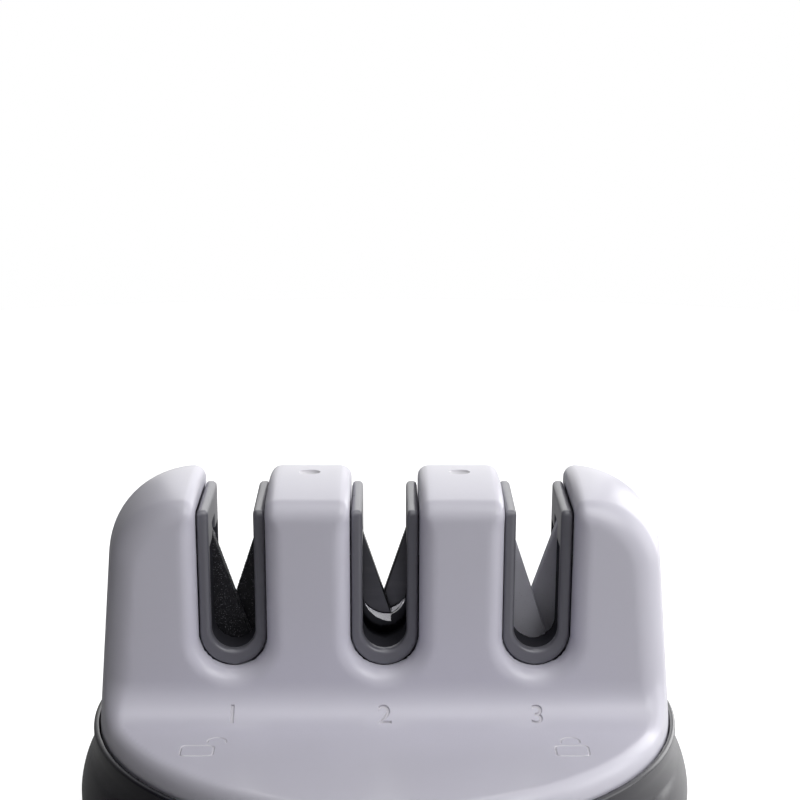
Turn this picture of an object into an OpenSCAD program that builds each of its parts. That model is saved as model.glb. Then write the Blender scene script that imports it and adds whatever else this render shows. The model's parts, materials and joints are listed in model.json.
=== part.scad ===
// Three slot knife sharpener on a twist lock suction base.
// The table is z = 0, the knife runs along Y and the numbered front faces -Y.

/* [Head] */
// Height of the crown of the head above the table
head_top_z = 77.8; // [76:0.2:84]
// Radius of the crown, seen from the end of the head
crown_r = 60; // [45:5:200]
// Depth of the tower block, front face to back face
tower_depth = 28.4; // [27:0.2:34]
// Radius of the head where it enters the collar
head_r = 52.8; // [52.4:0.1:54]
// Height at which the head enters the collar
parting_z = 33; // [31:0.5:34]
// Draft of the head's side, in degrees
draft_angle = 5.3; // [2:0.1:7]
// Radius of the two outer shoulders, seen from the front
shoulder_r = 12; // [8:0.5:16]
// Height of the apron in front of the towers
apron_z = 36.8; // [35:0.2:39]
// Hollow fillet where the tower face meets the apron
foot_r = 7; // [3:0.5:8]
// Rounding of the apron's outer edge
rim_r = 2.2; // [1:0.1:2.8]
// Rounding of the top edges, front and back
top_edge_r = 3; // [1:0.2:4]
// Rounding of the upright outer corners
corner_r = 4.2; // [2:0.2:5]
// Radius of the dimples on the two middle towers
dimple_r = 2.2; // [1.5:0.1:3]
// Wall thickness of the head shell
shell_wall = 2.3; // [1.8:0.1:2.8]
// Height of the head's lower edge, inside the collar
head_floor_z = 28.5; // [27.5:0.1:30]

/* [Slots] */
// Distance between neighbouring slots, as a share of the head's radius
pitch_share = 0.515; // [0.5:0.005:0.54]
// Outer width of a slot liner
liner_w = 12; // [11:0.2:13]
// Clear width between the liner walls
throat_w = 7.9; // [6.5:0.1:8.5]
// Height of the liner's top
liner_top_z = 74.2; // [72:0.2:75.5]
// Height of the liner's round bottom, outside
liner_floor_z = 45.2; // [44.5:0.1:47]
// Height of the liner's round bottom, inside
throat_floor_z = 48; // [47.5:0.1:50]
// Depth of the liners, front to back
liner_depth = 20.4; // [18:0.2:21]
// Rounding of the head's edge around each slot
slot_edge_r = 3; // [1:0.2:3.6]
// Gap between a liner and the head shell
liner_gap = 0.15; // [0.1:0.05:0.3]
// Rounding at the top of the liner's inner edge
liner_edge_r = 1.4; // [0.5:0.1:1.8]

/* [Sharpening plates] */
// Height of the point where the two plates of a slot cross
vee_z = 56; // [55:0.5:58]
// Angle of each plate's edge from upright, in degrees
vee_angle = 18.5; // [15:0.5:20]
// Thickness of a sharpening plate
plate_t = 2.7; // [2:0.1:3.2]
// Height of the plates' top
plate_top_z = 69.6; // [66:0.2:71]
// How far a plate reaches into the liner wall
plate_inset = 1.3; // [0.6:0.1:1.5]
// Height of the carbide blades' lower tip
blade_tip_z = 50.7; // [50:0.1:52]

/* [Lock ring] */
// How far the lock ring stands out beyond the head
ring_flare = 4.2; // [3.8:0.1:6]
// Wall thickness of the ring's narrow collar
collar_wall = 0.95; // [0.8:0.05:1.6]
// Height of the collar's top
collar_top_z = 32.7; // [31.5:0.1:33]
// Height at which the collar meets the shoulder of the ring
collar_foot_z = 29.4; // [28.8:0.1:30]
// Height of the shoulder's lower end
ring_shoulder_z = 23; // [21:0.5:25]
// Height of the ring's lower edge above the table
ring_floor_z = 2.5; // [1.5:0.1:3.5]
// Wall thickness of the ring
ring_wall = 2.3; // [2:0.1:2.8]
// Turn of the ring from released to locked, in degrees
lock_turn = 90; // [60:5:100]
// Reach of the thumb tab outside the ring
tab_reach = 5; // [3:0.5:8]
// Width of the thumb tab
tab_w = 18; // [12:1:24]

/* [Lift mechanism] */
// Lift of the cup's middle when the ring is locked
lift = 3.93; // [3:0.01:4]
// Radius of the guide tube
tube_r = 8; // [7.6:0.1:8.4]
// Radius of the slider in the guide tube
slider_r = 4; // [3.6:0.1:4.2]
// Radius of the cross pin
pin_r = 1.5; // [1.2:0.1:1.6]
// Height of the cross pin when released
pin_z = 23; // [22.9:0.1:23.2]
// Outer radius of the cam ring
cam_r = 13.8; // [13:0.1:14]
// Turns of the return spring
spring_turns = 6.5; // [5:0.5:8]
// Wire radius of the return spring
spring_wire_r = 0.45; // [0.35:0.05:0.5]

/* [Suction cup] */
// How far the finger tab stands out beyond the cup
cup_tab_reach = 4.5; // [3:0.1:5]
// Thickness of the cup's rim
cup_rim_h = 3.4; // [2.8:0.1:3.8]
// Rise of the hollow under the cup
cup_hollow = 2.4; // [1.5:0.1:2.6]
// Height of the cup's middle boss
cup_boss_z = 6.6; // [6.2:0.1:7]

/* [Hidden] */

// Facets of round parts, of the cam and of the spring
$fn = 96;
cam_steps = 18;
coil_rings = 8;
coil_sides = 6;
// One overrun for all cuts
over = 1;
// Clearances: a running fit, a moving gap and a seat
run_gap = 0.08;
move_gap = 0.3;
seat_gap = 0.02;

// The head's side and crown
draft_slope = tan(draft_angle);
tower_y = tower_depth / 2;
crown_z = head_top_z - crown_r;
crown_sweep = 60;
// The shoulder's arc leaves the cone at this small angle, in degrees
shoulder_leave = 4;
dimple_y = 3;
dimple_depth = 0.7;
function side_r(z) = head_r - (z - parting_z) * draft_slope;

// Slots
slot_pitch = head_r * pitch_share;
slot_places = [-slot_pitch, 0, slot_pitch];
liner_hw = liner_w / 2;
throat_hw = throat_w / 2;
liner_y = liner_depth / 2;
liner_arc_z = liner_floor_z + liner_hw;
throat_arc_z = throat_floor_z + throat_hw;
slot_hw = liner_hw + liner_gap;
lip_w = 2.2;
lip_depth = 4.8;
inner_edge_r = 2;

// Plates sit in one pocket that the two liner halves share
pocket_gap = 0.1;
plate_hw = throat_hw + plate_inset;
pocket_hw = plate_hw + pocket_gap;
plate_mid_gap = 0.1;
plate_y = plate_mid_gap + plate_t;
pocket_y = plate_y + pocket_gap;
vee_slope = tan(vee_angle);
blade_t = 2.2;
blade_foot_x = 1.3;
blade_foot_r = 3.4;

// Webs, bosses and screws that join the liner halves
web_t = 2.5;
web_low_z = 47;
web_high_z = 62;
boss_r = 3.2;
boss_y = 8;
boss_z = 55;
boss_end_x = (slot_pitch + liner_hw + side_r(boss_z) - shell_wall) / 2;
boss_places = [-boss_end_x, -slot_pitch / 2, slot_pitch / 2, boss_end_x];
small_screw_r = 1.1;
small_head_r = 2;
small_head_h = 1.4;

// Deck and guide tube
deck_t = 2.5;
deck_z = head_floor_z;
deck_top_z = deck_z + deck_t;
deck_gap = 0.12;
deck_r = head_r - shell_wall - deck_gap;
tube_low_z = 13.3;
tube_high_z = 41;
tube_cap = 2;
bore_r = slider_r + run_gap;
post_r = 3.5;
retain_in_r = 14.7;
retain_out_r = 17.6;
head_screw_inset = 10.4;
head_screw_pcr = deck_r - head_screw_inset;
head_screw_r = 1.4;
head_screw_head_r = 2.6;
head_screw_head_h = 1.8;
head_boss_r = 3.4;
head_screw_tip_z = 35.2;

// Lock ring
web_z = 14;
ring_web_t = 2.5;
web_top_z = web_z + ring_web_t;
collar_gap = 0.35;
collar_in_r = head_r + collar_gap;
collar_r = collar_in_r + collar_wall;
ring_r = head_r + ring_flare;
ring_lean = 0.6;
ring_in_r = ring_r - ring_lean - ring_wall;
ring_edge_r = 1.2;
rail_inset = 5.3;
rail_in_r = ring_in_r - rail_inset;
rail_t = 1.6;
rail_gap = 0.4;
stop_inset = 1.4;
stop_w = 3.4;
stop_out_r = rail_in_r - stop_inset;
stop_in_r = stop_out_r - stop_w;
stop_angle = 6;
stop_gap_angle = 0.5;
deck_stop_low_z = 19.5;
ring_stop_high_z = 26;
tab_low_z = 5;
tab_high_z = 19;
tab_edge_r = 2;
tab_place = 225;

// Cam ring
cam_bore_r = tube_r + run_gap;
cam_flange_r = 17;
cam_flange_t = 1.8;
window_r = 5.5;
window_pcr = (cam_flange_r + stop_in_r) / 2;
window_count = 8;
cam_top_z = 20.9;
cam_low_z = pin_z - pin_r - move_gap;
cam_flat_low = 10;
cam_flat_high = 12;
cam_in_r = 9;
cam_root = 0.4;
cam_set_in = 0.1;
cam_key_w = 3;
cam_key_d = 1.6;
washer_in_r = 9;
washer_out_r = 17.5;
washer_t = 0.5;

// Suction cup and the pressure plate on its rim
cup_tab_gap = 1.6;
cup_r = ring_in_r - cup_tab_reach - cup_tab_gap;
pp_inset = 1.5;
pp_rim_w = 3.5;
pp_r = cup_r - pp_inset;
pp_t = 2.4;
pp_hub_r = 18.5;
pp_hub_z = tube_low_z;
pp_edge_z = 8.2;
pp_edge_r = pp_r - pp_rim_w;
pp_bore_r = 3.5;
pp_screw_pcr = 6.05;
pp_screw_r = 1;
pp_screw_head_r = 1.8;
pp_screw_head_h = 1.3;
pp_screw_len = 10;
pin_slot_hw = pin_r + move_gap;
pin_reach = 13.4;
pin_slot_high_z = pin_z + lift + pin_r + over;

// Slider, stud and spring
slider_low_z = 15.6;
slider_high_z = 27;
stud_r = 3;
stud_top_z = 20.4;
stud_flange_r = 8.5;
stud_flange_low_z = 3.8;
stud_flange_t = 1.6;
spring_r = 3.1;
spring_high_z = tube_high_z - tube_cap;

// Suction cup
cup_land = 3;
cup_boss_r = 10.5;
cup_shoulder_z = 5;
cup_lip = 0.8;
cup_tab_w = 12;
cup_tab_t = 1.6;

// Prism of a front view outline from y0 to y1
module along_y(y0, y1) {
    translate([0, y1, 0])
        rotate([90, 0, 0])
            linear_extrude(height = y1 - y0)
                children();
}

// Prism of an end view outline from x0 to x1
module along_x(x0, x1) {
    translate([x0, 0, 0])
        rotate([90, 0, 90])
            linear_extrude(height = x1 - x0)
                children();
}

// Rectangle from corner to corner
module box2(x0, z0, x1, z1) {
    translate([x0, z0])
        square([x1 - x0, z1 - z0]);
}

// Ring sector by its section, centred on an angle
module sector(middle, spread) {
    rotate([0, 0, middle - spread / 2])
        rotate_extrude(angle = spread)
            children();
}

// Front view of the whole head, drawn in by a wall thickness
module head_front_view(inset) {
    s = shoulder_r - inset;
    top = head_top_z - inset;
    cz = top - s;
    cx = side_r(cz) - inset - s / cos(draft_angle);
    leave = draft_angle + shoulder_leave;
    tx = cx + s * cos(leave);
    tz = cz + s * sin(leave);
    foot = head_floor_z - over;
    fx = tx + (tz - foot) * tan(leave);
    polygon([[-fx, foot], [fx, foot], [tx, tz], [cx, cz], [cx, top], [-cx, top], [-cx, cz], [-tx, tz]]);
    for (side = [-1, 1])
        translate([side * cx, cz])
            circle(r = s);
}

// End view of the tower block with its crown, edge rounding and foot fillets
module tower_end_view(inset, edge) {
    hy = tower_y - inset;
    arc = crown_r - inset;
    ey = hy - edge;
    ez = crown_z + sqrt(pow(arc - edge, 2) - ey * ey);
    touch_y = ey * arc / (arc - edge);
    intersection() {
        translate([0, crown_z])
            circle(r = arc, $fn = 360);
        box2(-touch_y, crown_z, touch_y, head_top_z + over);
    }
    box2(-hy, head_floor_z - over, hy, ez);
    for (side = [-1, 1])
        translate([side * ey, ez])
            circle(r = edge);
}

// Hollow fillet along the foot of the towers, in the end view
module foot_end_view() {
    difference() {
        box2(tower_y - over, apron_z - over, tower_y + foot_r, apron_z + foot_r);
        translate([tower_y + foot_r, apron_z + foot_r])
            circle(r = foot_r);
    }
}

// Side of the head as a turned body, drawn in by a wall thickness
module head_turned(inset) {
    high = head_top_z + over;
    rotate_extrude()
        polygon([[0, head_floor_z - over], [head_r - inset, head_floor_z - over], [head_r - inset, parting_z],
            [side_r(high) - inset, high], [0, high]]);
}

// Round apron with its rounded outer edge
module apron_disc() {
    cz = apron_z - rim_r;
    cx = side_r(cz) - rim_r / cos(draft_angle);
    rotate_extrude() {
        polygon([[0, head_floor_z], [head_r, head_floor_z], [head_r, parting_z],
            [cx + rim_r * cos(draft_angle), cz + rim_r * sin(draft_angle)],
            [cx, cz], [cx, apron_z], [0, apron_z]]);
        translate([cx, cz])
            circle(r = rim_r);
    }
}

// Upright outer corner of the tower block: what the rounding takes off
module corner_cut() {
    high_z = head_top_z - corner_r;
    mid_z = (head_top_z - shoulder_r + apron_z) / 2;
    cy = tower_y - corner_r;
    cx = sqrt(pow(side_r(mid_z) - corner_r, 2) - cy * cy);
    turn = atan2(cy, cx);
    reach = corner_r * 2 + over;
    for (mx = [0, 1])
        for (my = [0, 1])
            mirror([mx, 0, 0])
                mirror([0, my, 0])
                    translate([cx, cy, mid_z])
                        rotate([0, -draft_angle, 0])
                            translate([0, 0, apron_z - mid_z])
                                linear_extrude(height = high_z - apron_z)
                                    difference() {
                                        polygon([[0, 0], [0, reach], [reach, reach],
                                            [reach * cos(turn), reach * sin(turn)]]);
                                        circle(r = corner_r);
                                    }
}

// What the rounding takes off the edge of the shoulders, front and back
module shoulder_cut() {
    e = corner_r;
    cz = head_top_z - shoulder_r;
    cx = side_r(cz) - shoulder_r / cos(draft_angle);
    for (mx = [0, 1])
        for (my = [0, 1])
            mirror([mx, 0, 0])
                mirror([0, my, 0])
                    translate([cx, 0, cz])
                        rotate([90, 0, 0])
                            rotate_extrude(angle = 90)
                                difference() {
                                    translate([shoulder_r - e, tower_y - e])
                                        square([e + over, e + over]);
                                    translate([shoulder_r - e, tower_y - e])
                                        circle(r = e);
                                }
}

// Solid head, before it is hollowed
module head_solid() {
    apron_disc();
    difference() {
        intersection() {
            head_turned(0);
            along_y(-head_r, head_r)
                head_front_view(0);
            along_x(-head_r, head_r)
                difference() {
                    tower_end_view(0, top_edge_r);
                    box2(-head_r, 0, head_r, apron_z - rim_r / 2);
                }
        }
        corner_cut();
        shoulder_cut();
        for (x = [-slot_pitch / 2, slot_pitch / 2])
            translate([x, dimple_y, head_top_z - dimple_depth])
                cylinder(r = dimple_r, h = dimple_depth + over);
    }
    intersection() {
        cylinder(r = side_r(apron_z) - rim_r - over / 2, h = head_top_z);
        for (side = [0, 1])
            mirror([0, side, 0])
                along_x(-head_r, head_r)
                    foot_end_view();
    }
}

// Slot outline with a round bottom, seen from the front
module slot_outline(half_w, arc_z, top) {
    translate([0, arc_z])
        circle(r = half_w);
    box2(-half_w, arc_z, half_w, top);
}

// What the rounding takes off the faces around one slot
module slot_face_cut() {
    e = slot_edge_r;
    top = head_top_z + over;
    for (side = [0, 1])
        mirror([0, side, 0])
            translate([0, -tower_y, 0]) {
                for (flip = [0, 1])
                    mirror([flip, 0, 0])
                        translate([slot_hw, 0, liner_arc_z])
                            linear_extrude(height = top - liner_arc_z)
                                difference() {
                                    translate([-over, -over])
                                        square([e + over, e + over]);
                                    translate([e, e])
                                        circle(r = e);
                                }
                translate([0, 0, liner_arc_z])
                    rotate([90, 0, 0])
                        mirror([0, 0, 1])
                            rotate([0, 0, 180])
                                rotate_extrude(angle = 180)
                                    difference() {
                                        translate([slot_hw - over, -over])
                                            square([e + over, e + over]);
                                        translate([slot_hw + e, e])
                                            circle(r = e);
                                    }
            }
}

// What the rounding takes off the crown along both sides of one slot
module slot_crown_cut() {
    e = slot_edge_r;
    for (flip = [0, 1])
        mirror([flip, 0, 0])
            translate([0, 0, crown_z])
                rotate([0, 90, 0])
                    rotate([0, 0, 180 - crown_sweep / 2])
                        translate([0, 0, slot_hw])
                            rotate_extrude(angle = crown_sweep, $fn = 360)
                                difference() {
                                    translate([crown_r - e, -over])
                                        square([e + over, e + over]);
                                    translate([crown_r - e, e])
                                        circle(r = e);
                                }
}

// Inside of the head shell, with the lips that stay around each slot
module head_hollow() {
    difference() {
        union() {
            intersection() {
                head_turned(shell_wall);
                along_y(-head_r, head_r)
                    head_front_view(shell_wall);
                along_x(-head_r, head_r)
                    tower_end_view(shell_wall, inner_edge_r);
            }
            translate([0, 0, head_floor_z - over])
                cylinder(r = head_r - shell_wall, h = apron_z - shell_wall - head_floor_z + over);
        }
        for (x = slot_places)
            translate([x, 0, 0]) {
                for (y = [-tower_y, tower_y - lip_depth])
                    along_y(y, y + lip_depth)
                        slot_outline(slot_hw + lip_w, liner_arc_z, head_top_z);
                translate([-slot_hw - lip_w, -tower_y, head_top_z - lip_depth])
                    cube([(slot_hw + lip_w) * 2, tower_depth, lip_depth]);
            }
        for (a = [45 : 90 : 315])
            rotate([0, 0, a])
                translate([head_screw_pcr, 0, deck_top_z])
                    cylinder(r = head_boss_r, h = apron_z - deck_top_z);
    }
}

module head_shell() {
    color("ghostwhite")
        difference() {
            difference() {
                head_solid();
                for (x = slot_places)
                    translate([x, 0, 0]) {
                        along_y(-tower_y - over, tower_y + over)
                            slot_outline(slot_hw, liner_arc_z, head_top_z + over);
                        slot_face_cut();
                        slot_crown_cut();
                    }
            }
            head_hollow();
            for (a = [45 : 90 : 315])
                rotate([0, 0, a])
                    translate([head_screw_pcr, 0, deck_top_z - over])
                        cylinder(r = head_screw_r, h = head_screw_tip_z - deck_top_z + over + seat_gap);
        }
}

// Liner half on the +Y side: three channels, webs and bosses
module liner_half(hole_r, head_side) {
    difference() {
        union() {
            for (x = slot_places)
                translate([x, 0, 0])
                    along_y(0, liner_y)
                        slot_outline(liner_hw, liner_arc_z, liner_top_z);
            along_y(0, web_t)
                box2(boss_places[0], web_low_z, boss_places[3], web_high_z);
            for (x = boss_places)
                translate([x, 0, 0])
                    along_y(0, boss_y)
                        translate([0, boss_z])
                            circle(r = boss_r);
        }
        for (x = slot_places)
            translate([x, 0, 0]) {
                along_y(-over, liner_y + over)
                    slot_outline(throat_hw, throat_arc_z, liner_top_z + over);
                along_y(-over, pocket_y)
                    slot_outline(pocket_hw, throat_arc_z, plate_top_z + pocket_gap);
                for (flip = [0, 1])
                    mirror([flip, 0, 0])
                        along_y(-over, liner_y + over)
                            difference() {
                                box2(throat_hw - over, liner_top_z - liner_edge_r,
                                    throat_hw + liner_edge_r, liner_top_z + over);
                                translate([throat_hw + liner_edge_r, liner_top_z - liner_edge_r])
                                    circle(r = liner_edge_r);
                            }
            }
        for (x = boss_places)
            translate([x, 0, boss_z])
                rotate([-90, 0, 0]) {
                    translate([0, 0, -over])
                        cylinder(r = hole_r, h = boss_y + over * 2);
                    if (head_side)
                        translate([0, 0, boss_y - small_head_h])
                            cylinder(r = small_head_r + seat_gap, h = small_head_h + over);
                }
    }
}

module liner_rear() {
    color("dimgray")
        liner_half(small_screw_r + seat_gap, true);
}

module liner_front() {
    color("dimgray")
        mirror([0, 1, 0])
            liner_half(small_screw_r + seat_gap, false);
}

module liner_screws() {
    color("silver")
        for (x = boss_places)
            translate([x, boss_y, boss_z])
                rotate([90, 0, 0]) {
                    cylinder(r = small_head_r, h = small_head_h);
                    cylinder(r = small_screw_r, h = boss_y * 2 - over);
                }
}

// Long plate of a slot: its edge slants from one wall across to the other
module long_plate() {
    along_y(-plate_y, -plate_mid_gap)
        intersection() {
            slot_outline(plate_hw, throat_arc_z, plate_top_z);
            polygon([[-plate_hw * 2, plate_top_z], [(vee_z - plate_top_z) * vee_slope, plate_top_z],
                [(vee_z - liner_floor_z) * vee_slope, liner_floor_z], [-plate_hw * 2, liner_floor_z]]);
        }
}

// Carbide blade: slanted edge, upright nose and rounded foot
module short_blade() {
    nose_z = vee_z - blade_foot_x / vee_slope;
    along_y(-plate_mid_gap - blade_t, -plate_mid_gap)
        intersection() {
            slot_outline(plate_hw, throat_arc_z, plate_top_z);
            polygon([[-plate_hw * 2, plate_top_z], [(vee_z - plate_top_z) * vee_slope, plate_top_z],
                [blade_foot_x, nose_z], [blade_foot_x, liner_floor_z], [-plate_hw * 2, liner_floor_z]]);
            union() {
                translate([blade_foot_x - blade_foot_r / 2, blade_tip_z + blade_foot_r])
                    circle(r = blade_foot_r);
                box2(blade_foot_x - blade_foot_r / 2, blade_tip_z, plate_hw, plate_top_z);
                box2(-plate_hw * 2, blade_tip_z + blade_foot_r, plate_hw, plate_top_z);
            }
        }
}

module coarse_plate_left() {
    color("#26252a")
        translate([slot_places[0], 0, 0])
            long_plate();
}

module coarse_plate_right() {
    color("#26252a")
        translate([slot_places[0], 0, 0])
            rotate([0, 0, 180])
                long_plate();
}

module carbide_blade_left() {
    color("slategray")
        translate([slot_places[1], 0, 0])
            short_blade();
}

module carbide_blade_right() {
    color("slategray")
        translate([slot_places[1], 0, 0])
            rotate([0, 0, 180])
                short_blade();
}

module ceramic_plate_left() {
    color("gray")
        translate([slot_places[2], 0, 0])
            long_plate();
}

module ceramic_plate_right() {
    color("gray")
        translate([slot_places[2], 0, 0])
            rotate([0, 0, 180])
                long_plate();
}

// Deck that closes the head, with the guide tube of the lift
module inner_deck() {
    color("dimgray")
        difference() {
            union() {
                translate([0, 0, deck_z])
                    cylinder(r = deck_r, h = deck_t);
                translate([0, 0, tube_low_z])
                    cylinder(r = tube_r, h = tube_high_z - tube_low_z);
                difference() {
                    translate([0, 0, web_top_z + cam_flange_t + move_gap])
                        cylinder(r = retain_out_r, h = deck_z - web_top_z - cam_flange_t - move_gap + over);
                    translate([0, 0, tube_low_z])
                        cylinder(r = retain_in_r, h = deck_z - tube_low_z);
                }
                for (x = [boss_places[1], boss_places[2]])
                    translate([x, 0, deck_top_z - over])
                        cylinder(r = post_r, h = web_low_z - deck_top_z + over);
                sector(90, stop_angle)
                    box2(stop_in_r, deck_stop_low_z, stop_out_r, deck_z + over);
            }
            translate([0, 0, tube_low_z - over])
                cylinder(r = bore_r, h = tube_high_z - tube_cap - tube_low_z + over);
            translate([-pin_reach - over, -pin_slot_hw, tube_low_z - over])
                cube([(pin_reach + over) * 2, pin_slot_hw * 2, pin_slot_high_z - tube_low_z + over]);
            for (a = [45 : 90 : 315])
                rotate([0, 0, a]) {
                    translate([head_screw_pcr, 0, deck_z - over])
                        cylinder(r = head_screw_r + seat_gap, h = deck_t + over * 2);
                    translate([pp_screw_pcr, 0, tube_low_z - over])
                        cylinder(r = pp_screw_r + seat_gap, h = pp_screw_len + over);
                }
        }
}

module head_screws() {
    color("silver")
        for (a = [45 : 90 : 315])
            rotate([0, 0, a])
                translate([head_screw_pcr, 0, deck_z - head_screw_head_h]) {
                    cylinder(r = head_screw_head_r, h = head_screw_head_h);
                    cylinder(r = head_screw_r - seat_gap, h = head_screw_tip_z - deck_z + head_screw_head_h);
                }
}

// Section of the ring's wall: foot, shoulder curve and collar
module ring_section() {
    flare = ring_r - ring_lean - collar_r;
    rise = collar_foot_z - ring_shoulder_z;
    arc_r = (flare * flare + rise * rise) / (flare * 2);
    step_z = head_floor_z - over;
    base_r = collar_in_r - over;
    difference() {
        union() {
            polygon([[base_r, ring_floor_z], [ring_r - ring_edge_r, ring_floor_z],
                [ring_r, ring_floor_z + ring_edge_r], [ring_r - ring_lean, ring_shoulder_z],
                [base_r, ring_shoulder_z]]);
            translate([ring_r - ring_edge_r, ring_floor_z + ring_edge_r])
                circle(r = ring_edge_r);
            intersection() {
                translate([ring_r - ring_lean - arc_r, ring_shoulder_z])
                    circle(r = arc_r, $fn = 180);
                box2(base_r, ring_shoulder_z - over, ring_r, collar_foot_z);
            }
            box2(base_r, ring_shoulder_z, collar_r, collar_top_z - collar_wall);
            intersection() {
                translate([collar_in_r, collar_top_z - collar_wall])
                    circle(r = collar_wall);
                box2(base_r, collar_top_z - collar_wall - over, collar_r, collar_top_z);
            }
        }
        polygon([[0, ring_floor_z - over], [ring_in_r, ring_floor_z - over], [ring_in_r, step_z - over * 2],
            [collar_in_r, step_z], [collar_in_r, collar_top_z + over], [0, collar_top_z + over]]);
    }
}

module lock_ring() {
    color("#3a393e")
        difference() {
            union() {
                rotate_extrude()
                    ring_section();
                translate([0, 0, web_z])
                    cylinder(r = ring_in_r + over, h = ring_web_t);
                rotate_extrude()
                    box2(rail_in_r, web_top_z - over, rail_in_r + rail_t, head_floor_z - rail_gap);
                for (a = [90 + stop_angle + stop_gap_angle, 90 - lock_turn - stop_angle - stop_gap_angle])
                    sector(a, stop_angle)
                        box2(stop_in_r, web_top_z - over, stop_out_r, ring_stop_high_z);
                sector(tab_place, tab_w / ring_r * 180 / PI) {
                    box2(ring_r - over, tab_low_z, ring_r + tab_reach - tab_edge_r, tab_high_z);
                    box2(ring_r - over, tab_low_z + tab_edge_r, ring_r + tab_reach, tab_high_z - tab_edge_r);
                    for (z = [tab_low_z + tab_edge_r, tab_high_z - tab_edge_r])
                        translate([ring_r + tab_reach - tab_edge_r, z])
                            circle(r = tab_edge_r);
                }
            }
            translate([0, 0, web_z - over])
                cylinder(r = cam_r + seat_gap, h = ring_web_t + over * 2);
            for (side = [0, 180])
                rotate([0, 0, side + 90])
                    translate([cam_r - over, -cam_key_w / 2 - seat_gap, web_z - over])
                        cube([cam_key_d + over, cam_key_w + seat_gap * 2, ring_web_t + over * 2]);
            for (i = [0 : window_count - 1])
                rotate([0, 0, (i + 0.5) * 360 / window_count])
                    translate([window_pcr, 0, web_z - over])
                        cylinder(r = window_r, h = ring_web_t + over * 2);
        }
}

// Height of the cam track at a place given in degrees from its low end
function cam_height(a) = cam_low_z + lift * min(max(a / lock_turn, 0), 1);

// One helical ramp that lifts the cross pin
module cam_ramp() {
    first = -cam_flat_low;
    span = cam_flat_low + lock_turn + cam_flat_high;
    places = [for (i = [0 : cam_steps]) first + span * i / cam_steps];
    out_r = cam_r - cam_set_in;
    ring = [for (a = places) let (h = cam_height(a), c = cos(-a), s = sin(-a)) each [
        [cam_in_r * c, cam_in_r * s, cam_top_z - cam_root],
        [out_r * c, out_r * s, cam_top_z - cam_root],
        [out_r * c, out_r * s, h],
        [cam_in_r * c, cam_in_r * s, h]]];
    corners = 4;
    last = cam_steps * corners;
    walls = [for (i = [0 : cam_steps - 1]) for (k = [0 : corners - 1])
        let (n = (k + 1) % corners, a = i * corners, b = a + corners) each [
        [a + k, b + n, a + n],
        [a + k, b + k, b + n]]];
    polyhedron(points = ring, faces = concat([[0, 1, 2, 3]],
        walls, [[last + 3, last + 2, last + 1, last]]));
}

module cam_ring() {
    color("whitesmoke") {
        difference() {
            union() {
                translate([0, 0, web_z])
                    cylinder(r = cam_r, h = cam_top_z - web_z);
                translate([0, 0, web_top_z])
                    cylinder(r = cam_flange_r, h = cam_flange_t);
                for (side = [0, 180])
                    rotate([0, 0, side + 90])
                        translate([cam_r - over, -cam_key_w / 2, web_z])
                            cube([cam_key_d + over - seat_gap, cam_key_w, ring_web_t]);
            }
            translate([0, 0, web_z - over])
                cylinder(r = cam_bore_r, h = cam_top_z - web_z + over * 2);
        }
        for (side = [0, 180])
            rotate([0, 0, side])
                cam_ramp();
    }
}

module glide_washer() {
    color("ivory")
        translate([0, 0, pp_hub_z])
            difference() {
                cylinder(r = washer_out_r, h = washer_t);
                translate([0, 0, -over])
                    cylinder(r = washer_in_r, h = washer_t + over * 2);
            }
}

// Dished plate that holds the cup's rim down
module pressure_plate() {
    color("#45444a")
        difference() {
            rotate_extrude()
                polygon([[0, pp_hub_z - pp_t], [pp_hub_r, pp_hub_z - pp_t], [pp_edge_r, pp_edge_z - pp_t],
                    [pp_edge_r, cup_rim_h], [pp_r, cup_rim_h], [pp_r, pp_edge_z], [pp_edge_r, pp_edge_z],
                    [pp_hub_r, pp_hub_z], [0, pp_hub_z]]);
            translate([0, 0, pp_hub_z - pp_t - over])
                cylinder(r = pp_bore_r, h = pp_t + over * 2);
            for (a = [45 : 90 : 315])
                rotate([0, 0, a])
                    translate([pp_screw_pcr, 0, pp_hub_z - pp_t - over]) {
                        cylinder(r = pp_screw_r + seat_gap, h = pp_t + over * 2);
                        cylinder(r = pp_screw_head_r + seat_gap, h = pp_screw_head_h + over);
                    }
        }
}

module pressure_screws() {
    color("silver")
        for (a = [45 : 90 : 315])
            rotate([0, 0, a])
                translate([pp_screw_pcr, 0, pp_hub_z - pp_t]) {
                    cylinder(r = pp_screw_head_r, h = pp_screw_head_h);
                    cylinder(r = pp_screw_r, h = pp_t + pp_screw_len - over);
                }
}

// Rubber cup: flat sealing land, hollow underside and a boss round the stud's flange
module suction_cup() {
    land_r = cup_r - cup_land;
    steps = 12;
    hollow = [for (i = [0 : steps]) let (t = i / steps)
        [land_r * (1 - t), cup_hollow * sin(90 * t)]];
    color("#5a5a60")
        difference() {
            union() {
                rotate_extrude()
                    polygon(concat([[cup_r, 0]], hollow, [[0, cup_boss_z], [cup_boss_r, cup_boss_z],
                        [cup_boss_r + over, cup_shoulder_z], [pp_edge_r - over, cup_rim_h],
                        [cup_r - cup_lip, cup_rim_h], [cup_r, cup_rim_h - cup_lip]]));
                intersection() {
                    translate([-cup_tab_w / 2, 0, 0])
                        cube([cup_tab_w, cup_r + cup_tab_reach, cup_tab_t]);
                    difference() {
                        cylinder(r = cup_r + cup_tab_reach, h = cup_tab_t);
                        translate([0, 0, -over])
                            cylinder(r = cup_r - over, h = cup_tab_t + over * 2);
                    }
                }
            }
            translate([0, 0, stud_flange_low_z])
                cylinder(r = stud_flange_r + seat_gap, h = stud_flange_t);
            translate([0, 0, stud_flange_low_z])
                cylinder(r = stud_r + seat_gap, h = cup_boss_z);
        }
}

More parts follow.
